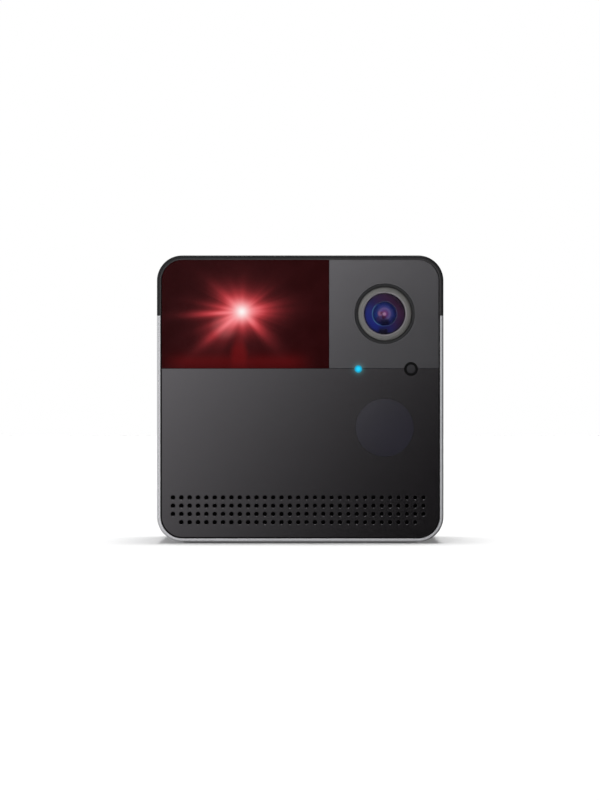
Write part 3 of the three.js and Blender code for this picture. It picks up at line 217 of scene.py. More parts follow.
# Cuts one shape from another, or joins it on.
def carved(bm, tool, change="DIFFERENCE"):
    whole, cutter = loose(bm, "whole"), loose(tool, "cutter")
    modifier = whole.modifiers.new("change", "BOOLEAN")
    modifier.operation = change
    modifier.solver = "EXACT"
    modifier.object = cutter
    result = bmesh.new()
    result.from_object(whole, bpy.context.evaluated_depsgraph_get())
    for piece in (whole, cutter):
        mesh = piece.data
        bpy.data.objects.remove(piece)
        bpy.data.meshes.remove(mesh)
    bmesh.ops.dissolve_degenerate(result, edges=result.edges, dist=tiny["sliver"])
    return result


# Makes a finished piece: metres, soft shading with crisp edges, a finish, a body and the nodes it stands for.
def makePiece(name, bm, finish, body="housing", stands=()):
    bmesh.ops.scale(bm, vec=(mm, mm, mm), verts=bm.verts)
    for face in bm.faces:
        face.smooth = True
    for edge in bm.edges:
        edge.smooth = len(edge.link_faces) == 2 and edge.calc_face_angle(0) < math.radians(crispAngle)
    piece = loose(bm, name)
    piece.data.materials.append(made[finish])
    piece.modifiers.new("flatFacesStayFlat", "WEIGHTED_NORMAL").keep_sharp = True
    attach(piece, body)
    if stands:
        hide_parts(*stands)
    return piece


# Finishes: colours are written as they look, from 0 to 255
mostNoise = (0.3, 0.7)  # nearly all of a noise's values lie between these
halfNoise = (0.35, 0.65)  # and most of a broad one's, where two shades meet more sharply


# The plain strengths behind a colour on a screen, by the screen's standard curve.
def tone(red, green, blue):
    plain = [c / 255 / 12.92 if c < 10.3 else ((c / 255 + 0.055) / 1.055) ** 2.4 for c in (red, green, blue)]
    return (*plain, 1)


def newFinish(name):
    material = bpy.data.materials.new(name)
    material.use_nodes = True
    tree = material.node_tree
    place = tree.nodes.new("ShaderNodeTexCoord").outputs["Object"]
    return material, tree, tree.nodes["Principled BSDF"], place


# Gives a socket what another one says, a number, or a colour.
def feed(tree, socket, value):
    if isinstance(value, bpy.types.NodeSocket):
        tree.links.new(value, socket)
    else:
        socket.default_value = tone(*value) if socket.type == "RGBA" else value


def calc(tree, operation, *values):
    node = tree.nodes.new("ShaderNodeMath")
    node.operation = operation
    for socket, value in zip(node.inputs, values):
        feed(tree, socket, value)
    return node.outputs[0]


def times(tree, first, *others):
    for value in others:
        first = calc(tree, "MULTIPLY", first, value)
    return first


def fade(tree, value, start, end, low=1, high=0, smooth=True):
    node = tree.nodes.new("ShaderNodeMapRange")
    node.interpolation_type = "SMOOTHSTEP" if smooth else "LINEAR"
    for socket, number in zip(node.inputs, (value, start, end, low, high)):
        feed(tree, socket, number)
    return node.outputs[0]


# How far a value lies from a middle one, whichever side it is on.
def apart(tree, value, middle):
    return calc(tree, "ABSOLUTE", calc(tree, "SUBTRACT", value, middle))


# Two lengths added, each by its own share: how far a point lies in a slanting direction.
def leaning(tree, x, z, shares):
    return calc(tree, "MULTIPLY_ADD", x, shares[0], calc(tree, "MULTIPLY", z, shares[1]))


def blendOf(tree, factor, first, second, way="MIX"):
    node = tree.nodes.new("ShaderNodeMix")
    node.data_type = "RGBA"
    node.blend_type = way
    feed(tree, node.inputs[0], factor)
    feed(tree, node.inputs[6], first)
    feed(tree, node.inputs[7], second)
    return node.outputs[2]


def rampOf(tree, value, stops):
    node = tree.nodes.new("ShaderNodeValToRGB")
    feed(tree, node.inputs[0], value)
    for stop in stops[2:]:
        node.color_ramp.elements.new(stop[0])
    for element, (place, colour) in zip(node.color_ramp.elements, stops):
        element.position = place
        element.color = tone(*colour)
    return node.outputs[0]


def moved(tree, place, shift=(0, 0, 0), stretch=(1, 1, 1)):
    node = tree.nodes.new("ShaderNodeMapping")
    feed(tree, node.inputs[0], place)
    node.inputs["Location"].default_value = [-s * k for s, k in zip(shift, stretch)]
    node.inputs["Scale"].default_value = stretch
    return node.outputs[0]


def speckle(tree, place, scale, detail=2):
    node = tree.nodes.new("ShaderNodeTexNoise")
    feed(tree, node.inputs["Vector"], place)
    node.inputs["Scale"].default_value = scale
    node.inputs["Detail"].default_value = detail
    return node.outputs[0]


def waves(tree, place, scale, direction="X"):
    node = tree.nodes.new("ShaderNodeTexWave")
    node.bands_direction = direction
    feed(tree, node.inputs["Vector"], place)
    node.inputs["Scale"].default_value = scale
    return node.outputs["Fac"]


# A bump whose depth is given in millimetres.
def bump(tree, shader, height, depth):
    node = tree.nodes.new("ShaderNodeBump")
    node.inputs["Strength"].default_value = 1
    node.inputs["Distance"].default_value = depth * mm
    feed(tree, node.inputs["Height"], height)
    feed(tree, shader.inputs["Normal"], node.outputs[0])


# Roughness that varies a little with a noise.
def gloss(tree, shader, noise, rough):
    feed(tree, shader.inputs["Roughness"], fade(tree, noise, *mostNoise, *rough))


# How far a point of the front is from a place on it, in millimetres: across, up and straight.
def offsetFrom(tree, place, across, up):
    node = tree.nodes.new("ShaderNodeSeparateXYZ")
    feed(tree, node.inputs[0], moved(tree, place, (across * mm, 0, up * mm), (1 / mm, 1 / mm, 1 / mm)))
    x, z = node.outputs[0], node.outputs[2]
    return x, z, calc(tree, "SQRT", calc(tree, "ADD", times(tree, x, x), times(tree, z, z)))


# Grain that most finishes share: two close shades, uneven gloss and a fine bump.
def grained(
    name, dark, light, rough, grain, depth, metal=0, specular=0.5, stretch=(1, 1, 1), coat=0, patch=40,
):
    material, tree, shader, place = newFinish(name)
    fine = speckle(tree, moved(tree, place, stretch=stretch), grain)
    broad = speckle(tree, place, grain / patch, 3)
    feed(tree, shader.inputs["Base Color"], blendOf(tree, fade(tree, broad, *halfNoise, 0, 1), dark, light))
    gloss(tree, shader, fine, rough)
    bump(tree, shader, fine, depth)
    shader.inputs["Metallic"].default_value = metal
    shader.inputs["Specular IOR Level"].default_value = specular
    shader.inputs["Coat Weight"].default_value = coat
    return material, tree, shader, place


# One finish: its two shades, range of roughness, grains to a metre, their depth in millimetres, the rest.
def look(dark, light, rough, grain, depth, **more):
    return dict(dark=dark, light=light, rough=rough, grain=grain, depth=depth, **more)


finishes = {
    "anodised_aluminium": look(
        (182, 182, 185), (186, 186, 189), (0.24, 0.26), 3200, 0.0007, metal=1, patch=2,
    ),
    "window_plastic": look((19, 18, 21), (22, 21, 24), (0.26, 0.32), 3000, 0.008, specular=0.25),
    # a lighter grey that paints a highlight line along the antenna window's front edge
    "lip_grey_highlight": look((46, 44, 46), (50, 48, 50), (0.22, 0.26), 3000, 0.002, specular=0.32),
    "moulded_black": look((26, 26, 28), (32, 32, 34), (0.45, 0.6), 1800, 0.03),
    "bezel_grey": look((118, 117, 115), (126, 125, 123), (0.34, 0.42), 2600, 0.01, metal=0.3),
    "clear_glass": look((150, 165, 185), (165, 178, 196), (0.03, 0.06), 900, 0.002, coat=0.5),
    "diode_white": look((228, 224, 210), (238, 236, 226), (0.35, 0.45), 2000, 0.01),
    "chip_black": look((28, 28, 30), (36, 36, 38), (0.4, 0.55), 2400, 0.02),
    "rubber_black": look((18, 18, 19), (23, 23, 24), (0.7, 0.85), 1500, 0.04, specular=0.2),
    "boot_rubber": look((8, 8, 9), (11, 11, 12), (0.6, 0.75), 1500, 0.03, specular=0.12),
    "mic_grille": look((60, 59, 62), (70, 69, 72), (0.5, 0.65), 2200, 0.02, specular=0.2),
    "steel": look((160, 162, 165), (184, 186, 189), (0.28, 0.4), 1400, 0.01, metal=1, stretch=(1, 6, 1)),
    "brass": look((188, 148, 84), (206, 168, 100), (0.25, 0.36), 1600, 0.01, metal=1, stretch=(1, 1, 5)),
    "bronze": look((150, 104, 60), (172, 122, 74), (0.35, 0.5), 1600, 0.02, metal=1),
    "copper": look((184, 106, 66), (204, 124, 82), (0.3, 0.4), 1200, 0.03, metal=1, stretch=(1, 8, 1)),
    "gear_white": look((212, 208, 198), (226, 223, 214), (0.42, 0.52), 1500, 0.02),
    "paper_cone": look((52, 52, 54), (66, 66, 68), (0.8, 0.95), 1100, 0.08),
    "ferrite": look((44, 44, 48), (56, 56, 60), (0.6, 0.75), 1300, 0.06, metal=0.2),
    "sensor_tint": look((46, 44, 53), (48, 46, 56), (0.06, 0.09), 2500, 0.0004, specular=0.27),
}
made = {name: grained(name, **values)[0] for name, values in finishes.items()}

board = {
    "dark": (22, 74, 46), "light": (26, 84, 52), "tracks": (64, 120, 78),
    "scale": 260, "trackWidth": 0.03, "depth": 0.03, "rough": (0.3, 0.45), "glossGrain": 600,
}


# Green circuit board: tracks under the lacquer.
def boardFinish():
    material, tree, shader, place = newFinish("board_green")
    tracks = tree.nodes.new("ShaderNodeTexBrick")
    feed(tree, tracks.inputs["Vector"], place)
    tracks.inputs["Scale"].default_value = board["scale"]
    tracks.inputs["Mortar Size"].default_value = board["trackWidth"]
    for socket, shade in (("Color1", "dark"), ("Color2", "light"), ("Mortar", "tracks")):
        feed(tree, tracks.inputs[socket], board[shade])
    feed(tree, shader.inputs["Base Color"], tracks.outputs["Color"])
    gloss(tree, shader, speckle(tree, place, board["glossGrain"]), board["rough"])
    bump(tree, shader, tracks.outputs["Fac"], board["depth"])
    return material


weave = {
    "dark": (3, 3, 3), "light": (16, 16, 17), "threads": 900, "depth": 0.08, "rough": (0.95, 0.75),
    "specular": 0.15,
}


# Open weave: threads across and up.
def weaveFinish():
    material, tree, shader, place = newFinish("mesh_cloth")
    height = calc(tree, "MAXIMUM", *(waves(tree, place, weave["threads"], way) for way in ("X", "Z")))
    feed(tree, shader.inputs["Base Color"], blendOf(tree, height, weave["dark"], weave["light"]))
    feed(tree, shader.inputs["Roughness"], fade(tree, height, 0, 1, *weave["rough"]))
    shader.inputs["Specular IOR Level"].default_value = weave["specular"]
    bump(tree, shader, height, weave["depth"])
    return material


ribbon = {
    "film": (120, 74, 26), "tracks": (176, 112, 44), "scale": 320, "depth": 0.02,
    "rough": (0.3, 0.42), "glossGrain": 500,
}


# Flat ribbon: amber film over rows of tracks.
def ribbonFinish():
    material, tree, shader, place = newFinish("ribbon")
    tracks = waves(tree, place, ribbon["scale"])
    feed(tree, shader.inputs["Base Color"], blendOf(tree, tracks, ribbon["film"], ribbon["tracks"]))
    gloss(tree, shader, speckle(tree, place, ribbon["glossGrain"]), ribbon["rough"])
    bump(tree, shader, tracks, ribbon["depth"])
    return material


made["board_green"] = boardFinish()
made["mesh_cloth"] = weaveFinish()
made["ribbon"] = ribbonFinish()

# Where the front's own pieces are, in millimetres
pivot = middleOf("laser_module")
lensAxis = middleOf("front_lens")
light = middleOf("status_light_pipe")
mic = middleOf("mic_boot")
disc = middleOf("sensor_cover")
windowLow, windowHigh = corners("laser_window")
cameraLow, cameraHigh = corners("camera_panel")
panelLow, panelHigh = corners("speaker_panel")
panelFront, panelBack = panelLow.y, panelHigh.y

statusLight = {
    "radius": 1.25,
    "glow": (79, 181, 186),  # the colour of its glow, painted as emission on the panels
    "halo": 0.55,  # how fast the glow fades round it, in millimetres
    "haloStrength": 0.25,
    "strength": 1,
    "stops": [(0, (38, 215, 255)), (0.45, (22, 204, 250)), (1, (34, 134, 166))],  # from its middle outwards
    "rampEnd": 1.3,
    "base": (6, 40, 56),
    "specular": 0.1,
    "rough": (0.2, 0.3),
    "glossGrain": 2000,
}


# The light's glow, painted as emission on the panels round it.
def addPaintedGlow(tree, shader, place):
    away = offsetFrom(tree, place, light.x, light.z)[2]
    beyond = calc(tree, "MAXIMUM", calc(tree, "SUBTRACT", away, statusLight["radius"]), 0)
    near = calc(tree, "EXPONENT", calc(tree, "DIVIDE", beyond, -statusLight["halo"]))
    feed(tree, shader.inputs["Emission Color"], statusLight["glow"])
    feed(tree, shader.inputs["Emission Strength"], times(tree, near, statusLight["haloStrength"]))


panelTint = (0.985, 0.945, 1, 1)  # of what the panels mirror
panelFinishes = {
    "smoked_panel": look((60, 60, 62), (62, 62, 64), (0.06, 0.09), 2500, 0.0004),
    "speaker_plastic": look((19, 17, 19), (21, 19, 21), (0.06, 0.09), 2500, 0.0004),
}
for name, values in panelFinishes.items():
    made[name], tree, shader, place = grained(name, **values)
    shader.inputs["Specular Tint"].default_value = panelTint
    # the status light's glow is painted onto both panels as emission
    addPaintedGlow(tree, shader, place)

# The laser's star, painted as emission on the red filter.
laserFlare = {
    "shift": (-0.38, 0.03),  # of the star from the laser: across, up
    "reach": 6.1,  # where it has faded to half
    "falloff": 3.4,
    # each ray: degrees from the right, anticlockwise; half width in degrees; how much further it reaches
    "rays": [
        (-3, 6, 3.3), (7, 6, 2.6), (15.5, 4.5, 2.7), (37.5, 13, 1.7), (88, 7, 0.8), (113, 10, 1.2),
        (136, 7.5, 3.3), (151, 7.5, 1.7), (169.5, 5, 3.8), (183.3, 3.8, 9), (199, 8, 2.3), (217, 11, 4.6),
        (220.5, 4, 3.6), (238, 8, 2.2), (272, 8, 0.9), (313, 6.5, 4), (323, 6, 1.4), (341, 8, 1.3),
    ],
    "streakScale": 9,  # fine streaks to both sides: how many
    "streakReach": 0.5,  # and how much they add or take
    "cloudScale": 160,  # unevenness all over: how fine
    "cloud": 0.012,  # and how much it adds or takes
    "dimming": (14, 30, 0.35),  # from where to where it dims once more, and to how much
    # its colours, from the faintest light to the full one
    "tones": [
        (0, (37, 5, 6)), (0.035, (44, 9, 11)), (0.1, (57, 15, 17)), (0.2, (82, 23, 26)),
        (0.32, (108, 32, 36)), (0.54, (156, 48, 53)), (0.67, (184, 61, 67)), (0.8, (212, 83, 89)),
        (0.9, (234, 106, 112)), (0.97, (247, 126, 132)), (1, (252, 140, 146)),
    ],
    "white": (255, 250, 248),  # its core
    "whiteReach": 2.2,
    "whiteEdge": 1.65,
    "paleGlow": (50, 56, 56),  # a painted pale glow in the lower left of the star
    "veilAt": (-6.6, -5),
    "veilReach": (1, 5.8),
}
footGlow = {
    "colour": (104, 7, 9),  # painted red light along the window's foot
    "shift": -2,  # of its middle from the laser
    "height": 4,
    "reach": (17, 29),  # to both sides: where it starts to fade, and where it ends
    "strength": 0.71,
    "rim": (4, 0.38),  # how far up the window's edge dims it, and to how much
    "column": 7.2,  # half width at the foot of a column of light under the star
    "narrowing": -0.46,  # of that, with each millimetre up
    "core": 0.2,  # the share of it that doesn't fade
    "columnShift": 0.6,
    "columnStrength": 0.62,
    "columnTop": (6, 13),
    "columnRim": (3, 0.6),
}
redFilter = {
    "base": (12, 3, 4),
    "rough": (0.05, 0.08),
    "glossGrain": 700,
    "specular": 0.01,
    "alpha": 0.97,
    "litDepth": (0.2, 0.4),  # behind its front face, its light ends
}


# How strong the star is at each point of the window: its reach differs with the direction.
def starLight(tree, place, x, z, away):
    sideways, upwards = calc(tree, "DIVIDE", x, away), calc(tree, "DIVIDE", z, away)
    reach = laserFlare["reach"]
    for angle, width, further in laserFlare["rays"]:
        turn, narrow = math.radians(angle), 1 / math.radians(width) ** 2
        facing = leaning(tree, sideways, upwards, (math.cos(turn), math.sin(turn)))
        lobe = calc(tree, "EXPONENT", calc(tree, "MULTIPLY_ADD", facing, narrow, -narrow))
        reach = calc(tree, "MULTIPLY_ADD", lobe, further, reach)
    around = tree.nodes.new("ShaderNodeCombineXYZ")
    feed(tree, around.inputs[0], sideways)
    feed(tree, around.inputs[2], upwards)
    streaks = fade(tree, speckle(tree, around.outputs[0], laserFlare["streakScale"]), *mostNoise, -1, 1)
    streaks = times(tree, streaks, calc(tree, "POWER", calc(tree, "ABSOLUTE", sideways), 2))
    reach = calc(tree, "MULTIPLY_ADD", streaks, laserFlare["streakReach"], reach)
    ratio = calc(tree, "POWER", calc(tree, "DIVIDE", away, reach), laserFlare["falloff"])
    near, far, dimmed = laserFlare["dimming"]
    star = calc(tree, "DIVIDE", 1, calc(tree, "ADD", ratio, 1))
    star = times(tree, star, fade(tree, away, near, far, 1, dimmed))
    cloud = laserFlare["cloud"]
    cloud = fade(tree, speckle(tree, place, laserFlare["cloudScale"], 3), *mostNoise, -cloud, cloud)
    return calc(tree, "ADD", star, cloud)


# How strong the light at the window's foot is: a low band, and a column under the star.
def footLight(tree, place):
    offset, height = offsetFrom(tree, place, pivot.x + footGlow["shift"], windowLow.z)[:2]
    rise = calc(tree, "DIVIDE", height, footGlow["height"])
    low = calc(tree, "EXPONENT", times(tree, rise, rise, -1))
    sides = fade(tree, calc(tree, "ABSOLUTE", offset), *footGlow["reach"], footGlow["strength"], 0)
    rimUp, rimDim = footGlow["rim"]
    low = times(tree, low, sides, fade(tree, height, 0, rimUp, rimDim, 1))
    broad = calc(tree, "MULTIPLY_ADD", height, footGlow["narrowing"], footGlow["column"])
    across = apart(tree, offset, footGlow["columnShift"])
    column = fade(tree, across, times(tree, broad, footGlow["core"]), broad, footGlow["columnStrength"], 0)
    rimUp, rimDim = footGlow["columnRim"]
    column = times(tree, column, fade(tree, height, *footGlow["columnTop"], 1, 0))
    column = times(tree, column, fade(tree, height, 0, rimUp, rimDim, 1))
    return calc(tree, "MAXIMUM", low, column)


# Red filter: gloss over a deep red, with the laser's star and the red light at its foot painted on it as
# emission.
def filterFinish():
    material, tree, shader, place = newFinish("red_filter")
    across, up = laserFlare["shift"]
    x, z, away = offsetFrom(tree, place, pivot.x + across, pivot.z + up)
    away = calc(tree, "MAXIMUM", away, tiny["same"])
    colour = rampOf(tree, starLight(tree, place, x, z, away), laserFlare["tones"])
    colour = blendOf(tree, footLight(tree, place), colour, footGlow["colour"], "ADD")
    across, up = laserFlare["veilAt"]
    paleGlow = offsetFrom(tree, place, pivot.x + across, pivot.z + up)[2]
    paleGlow = fade(tree, paleGlow, *laserFlare["veilReach"], 1, 0)
    colour = blendOf(tree, paleGlow, colour, laserFlare["paleGlow"], "ADD")
    spread = calc(tree, "DIVIDE", away, laserFlare["whiteReach"])
    white = calc(tree, "EXPONENT", times(tree, calc(tree, "POWER", spread, laserFlare["whiteEdge"]), -1))
    feed(tree, shader.inputs["Emission Color"], blendOf(tree, white, colour, laserFlare["white"]))
    depth = tree.nodes.new("ShaderNodeSeparateXYZ")
    feed(tree, depth.inputs[0], place)
    litFrom, litTo = ((windowLow.y + further) * mm for further in redFilter["litDepth"])
    feed(tree, shader.inputs["Emission Strength"], fade(tree, depth.outputs[1], litFrom, litTo))
    feed(tree, shader.inputs["Base Color"], redFilter["base"])
    gloss(tree, shader, speckle(tree, place, redFilter["glossGrain"]), redFilter["rough"])
    shader.inputs["Specular IOR Level"].default_value = redFilter["specular"]
    shader.inputs["Alpha"].default_value = redFilter["alpha"]
    return material


made["red_filter"] = filterFinish()

lensCoating = {
    "slant": (0.77, 0.64),  # the way its colours change: across, up; a painted reflection, blue towards the lower left and maroon towards the upper right
    "reach": 6.5,
    "stops": [
        (0, (26, 38, 130)), (0.22, (38, 46, 126)), (0.42, (46, 38, 90)), (0.6, (59, 37, 74)),
        (0.85, (67, 37, 62)), (1, (50, 27, 41)),
    ],
    "rim": (56, 50, 58), "rimReach": (6.2, 7.2), "rimStrength": 0.6,
    "notch": (24, 18, 24),  # a dark place at the lower edge
    "notchMiddle": -0.4, "notchWidth": (0.8, 3.1), "notchUp": (-6.4, -3.2), "notchSolid": 0.8,
    "arc": (92, 150, 196),  # a painted highlight: a thin bright line round the clear middle, strongest on the left
    "arcRadius": 4.35, "arcWidth": (0.04, 0.26), "arcSlant": (0.97, 0.2), "arcReach": (-4.3, -1.3),
    "arcHighlightStrength": (0.8, 0.17),
    "clearReach": (3.9, 4.5), "solid": (0.1, 0.94),  # in the middle and outside
    "rough": (0.03, 0.05), "glossGrain": 400, "specular": 0.3, "tint": (0.35, 0.4, 1, 1),
}


# Lens: the outer glass carries a tinted coating that clears over the middle, with a painted reflection that
# turns it from blue at the lower left to maroon at the upper right, and a painted highlight round the middle.
def coatedFinish():
    coat = lensCoating
    material, tree, shader, place = newFinish("coated_glass")
    x, z, away = offsetFrom(tree, place, lensAxis.x, lensAxis.z)
    side = fade(tree, leaning(tree, x, z, coat["slant"]), -coat["reach"], coat["reach"], 0, 1, smooth=False)
    coating = rampOf(tree, side, coat["stops"])
    coating = blendOf(tree, fade(tree, away, *coat["rimReach"], 0, coat["rimStrength"]), coating, coat["rim"])
    edge = fade(tree, apart(tree, away, coat["arcRadius"]), *coat["arcWidth"], 1, 0)
    lean = leaning(tree, x, z, coat["arcSlant"])
    lit = times(tree, edge, fade(tree, lean, *coat["arcReach"], *coat["arcHighlightStrength"]))
    coating = blendOf(tree, lit, coating, coat["arc"])
    notch = fade(tree, apart(tree, x, coat["notchMiddle"]), *coat["notchWidth"], 1, 0)
    notch = times(tree, notch, fade(tree, z, *coat["notchUp"], 1, 0))
    coating = blendOf(tree, notch, coating, coat["notch"])
    feed(tree, shader.inputs["Base Color"], coating)
    marks = calc(tree, "MAXIMUM", lit, times(tree, notch, coat["notchSolid"]))
    solid = fade(tree, away, *coat["clearReach"], *coat["solid"])
    feed(tree, shader.inputs["Alpha"], calc(tree, "MAXIMUM", solid, marks))
    gloss(tree, shader, speckle(tree, place, coat["glossGrain"]), coat["rough"])
    shader.inputs["Specular IOR Level"].default_value = coat["specular"]
    shader.inputs["Specular Tint"].default_value = coat["tint"]
    return material


innerCoating = {
    "reach": 5.2,
    # from the middle outwards: pink, violet, blue; the pink middle is a painted highlight
    "stops": [
        (0, (206, 96, 150)), (0.19, (158, 90, 188)), (0.29, (172, 142, 250)), (0.385, (188, 165, 255)),
        (0.48, (120, 122, 232)), (0.577, (90, 114, 225)), (0.673, (70, 92, 204)), (0.77, (68, 98, 195)),
        (0.86, (40, 50, 130)), (0.95, (10, 12, 24)),
    ],
    # painted reflections, highlights and shade: across, up, radius, strength, colour
    "spots": [
        (-1.5, -1.6, 1.8, 0.7, (124, 84, 136)), (-1.55, 0.1, 1.1, 0.95, (252, 176, 226)),
        (-0.9, 0.3, 0.8, 0.75, (140, 44, 84)), (-0.2, -1.1, 1.0, 0.85, (120, 24, 42)),
        (0.15, 0.1, 1.7, 0.3, (214, 140, 206)), (-0.05, -0.05, 0.8, 1, (255, 216, 236)),
        (0.1, -3.3, 2.4, 0.9, (60, 56, 88)), (-3.1, -0.3, 1.3, 0.5, (70, 120, 240)),
    ],
    "spotCore": 0.4,  # the share of a spot's radius that doesn't fade
    "glowingHighlight": (104, 54, 106), "glowingHighlightAt": (0.15, 0.05, 1.1),
    "rough": (0.06, 0.12), "roughReach": 5, "specular": 0.08,
}


# A soft round spot on the lens, in millimetres from its axis.
def spotOn(tree, place, across, up, radius, strength=1):
    away = offsetFrom(tree, place, lensAxis.x + across, lensAxis.z + up)[2]
    return fade(tree, away, radius * innerCoating["spotCore"], radius, strength, 0)


# The lens behind it: a coating with painted reflections, highlights and shade, and a painted highlight in the
# middle that glows.
def innerLensFinish():
    coat = innerCoating
    material, tree, shader, place = newFinish("inner_coating")
    away = offsetFrom(tree, place, lensAxis.x, lensAxis.z)[2]
    colour = rampOf(tree, calc(tree, "DIVIDE", away, coat["reach"]), coat["stops"])
    for *spot, shade in coat["spots"]:
        colour = blendOf(tree, spotOn(tree, place, *spot), colour, shade)
    feed(tree, shader.inputs["Base Color"], colour)
    feed(tree, shader.inputs["Roughness"], fade(tree, away, 0, coat["roughReach"], *coat["rough"]))
    shader.inputs["Specular IOR Level"].default_value = coat["specular"]
    # a painted highlight in the middle, given as emission
    glowingHighlight = blendOf(tree, spotOn(tree, place, *coat["glowingHighlightAt"]), (0, 0, 0), coat["glowingHighlight"])
    feed(tree, shader.inputs["Emission Color"], glowingHighlight)
    shader.inputs["Emission Strength"].default_value = 1
    return material


bezelFinish = {
    # the painted highlight on the inner lip, and the painted shade on the floor round the ring, darkest next
    # to it
    "lip": (168, 160, 170), "lipHighlightReach": (7.6, 7.95), "lipHighlightStrength": 0.5,
    "floorFrom": (9.44, 9.48), "floorShadeReach": (9.5, 10.4),
    "floorShadeDark": (10, 10, 11), "floorShadeLight": (54, 54, 56),
    "marks": 60, "markDepth": 0.004,
}


# Turned ring: fine circular tool marks, a painted highlight on its inner lip, and painted shade on the floor
# round it, darkest next to the ring.
def turnedFinish():
    ring = bezelFinish
    material, tree, shader, place = grained("turned_grey", **finishes["bezel_grey"])
    away = offsetFrom(tree, place, lensAxis.x, lensAxis.z)[2]
    colour = shader.inputs["Base Color"].links[0].from_socket
    colour = blendOf(tree, fade(tree, away, *ring["lipHighlightReach"], ring["lipHighlightStrength"], 0), colour, ring["lip"])
    shade = blendOf(tree, fade(tree, away, *ring["floorShadeReach"], 0, 1), ring["floorShadeDark"], ring["floorShadeLight"])
    colour = blendOf(tree, fade(tree, away, *ring["floorFrom"], 0, 1), colour, shade)
    feed(tree, shader.inputs["Base Color"], colour)
    bump(tree, shader, calc(tree, "SINE", times(tree, away, ring["marks"])), ring["markDepth"])
    return material


# Light guide: lit from behind, paler in the middle.
def guideFinish():
    material, tree, shader, place = newFinish("light_guide")
    away = offsetFrom(tree, place, light.x, light.z)[2]
    share = calc(tree, "DIVIDE", away, statusLight["rampEnd"])
    feed(tree, shader.inputs["Emission Color"], rampOf(tree, share, statusLight["stops"]))
    shader.inputs["Emission Strength"].default_value = statusLight["strength"]
    feed(tree, shader.inputs["Base Color"], statusLight["base"])
    shader.inputs["Specular IOR Level"].default_value = statusLight["specular"]
    gloss(tree, shader, speckle(tree, place, statusLight["glossGrain"]), statusLight["rough"])
    return material


laserGlow = {
    "dark": (255, 120, 110), "light": (255, 170, 160), "grain": 900, "strength": 3, "rough": (0.05, 0.1),
}


# The laser's own lens, alight, seen through the filter.
def laserLensFinish():
    material, tree, shader, place = newFinish("laser_glow")
    spots = speckle(tree, place, laserGlow["grain"])
    feed(tree, shader.inputs["Emission Color"], blendOf(tree, spots, laserGlow["dark"], laserGlow["light"]))
    shader.inputs["Emission Strength"].default_value = laserGlow["strength"]
    gloss(tree, shader, spots, laserGlow["rough"])
    return material


made["coated_glass"] = coatedFinish()
made["inner_coating"] = innerLensFinish()
made["turned_grey"] = turnedFinish()
made["light_guide"] = guideFinish()
made["laser_glow"] = laserLensFinish()
print("finishes made:", len(made))

# Aluminium sleeve and antenna window
sleeveLow, sleeveHigh = corners("body_sleeve")
half = sleeveHigh.x
frontY, backY = -half, half
middleZ = (sleeveLow.z + sleeveHigh.z) / 2
sleeve = {
    "corner": 9, "wall": 2.2, "rim": 1.2, "edge": 0.5, "gap": 0.1,
    "frontLedge": 3.8, "rearLedge": 3.5,  # how deep the panels and the rear cover sit in it
    "portInset": 6.2, "portRadius": 3.4, "portBore": 1.05,  # the posts for the rear screws
    "portStart": 24,  # behind the front edge
    "footCorner": 6,
    "tripodHole": 5.1,
}
window = {"gap": 0.1, "tongue": 3, "tongueThickness": 1, "rim": 1.4, "deeper": 0.17}
lip = {"width": 0.45, "proud": 0.02, "depth": 0.5}
frontLedge, rearLedge = frontY + sleeve["frontLedge"], backY - sleeve["rearLedge"]
archEnd = corners("antenna_window")[0].z
archBack = corners("antenna_window")[1].y - window["tongue"] - window["gap"]


# A wall's section swept round the cube's rounded square: each point is how far in, and Y.
def sweptRound(section, steps=20):
    bm = bmesh.new()
    run = half - sleeve["corner"]
    last = loopOf(bm, [(half - inset, y, middleZ - run) for inset, y in section])
    for side in range(4):
        angle = side * math.pi / 2
        cos, sin = math.cos(angle), math.sin(angle)
        grown = bmesh.ops.extrude_edge_only(bm, edges=[e for e in last if isEdge(e)])["geom"]
        verts = {v for v in grown if isVert(v)}
        bmesh.ops.translate(bm, verts=list(verts), vec=(-2 * run * sin, 0, 2 * run * cos))
        last = list(verts) + [e for e in grown if isEdge(e) and set(e.verts) <= verts]
        last = bmesh.ops.spin(
            bm, geom=last, cent=(run * (cos - sin), 0, middleZ + run * (sin + cos)), axis=(0, -1, 0),
            dvec=(0, 0, 0), angle=math.pi / 2, steps=steps, use_merge=False, use_duplicate=False,
        )["geom_last"]
    return closeUp(bm)


def outerEdge(y, start, end):
    soft = sleeve["edge"]
    return arc((soft, y + soft if y < 0 else y - soft), soft, start, end, 5)


# A section with four corners, for a ring between two insets and two depths behind the front edge.
def ringSection(outer, inner, front, back):
    front, back = frontY + front, frontY + back
    return [(outer, front), (inner, front), (inner, back), (outer, back)]


# How far a point lies inside the cube's rounded square.
def insetOf(place):
    across, up = (max(abs(c) - half + sleeve["corner"], 0) for c in (place.x, place.z - middleZ))
    return sleeve["corner"] - math.hypot(across, up)


# The antenna window is a little deeper above the panels than beside them.
def lowered(bm, where=lambda v: True):
    lean = 1 - window["deeper"] / (half - window["rim"])
    verts = [v for v in bm.verts if where(v)]
    bmesh.ops.scale(bm, vec=(1, 1, lean), space=Matrix.Translation((0, 0, -middleZ)), verts=verts)


def cornerPlaces(inset):
    reach = half - inset
    return [(x, 0, middleZ + z) for x in (-reach, reach) for z in (-reach, reach)]


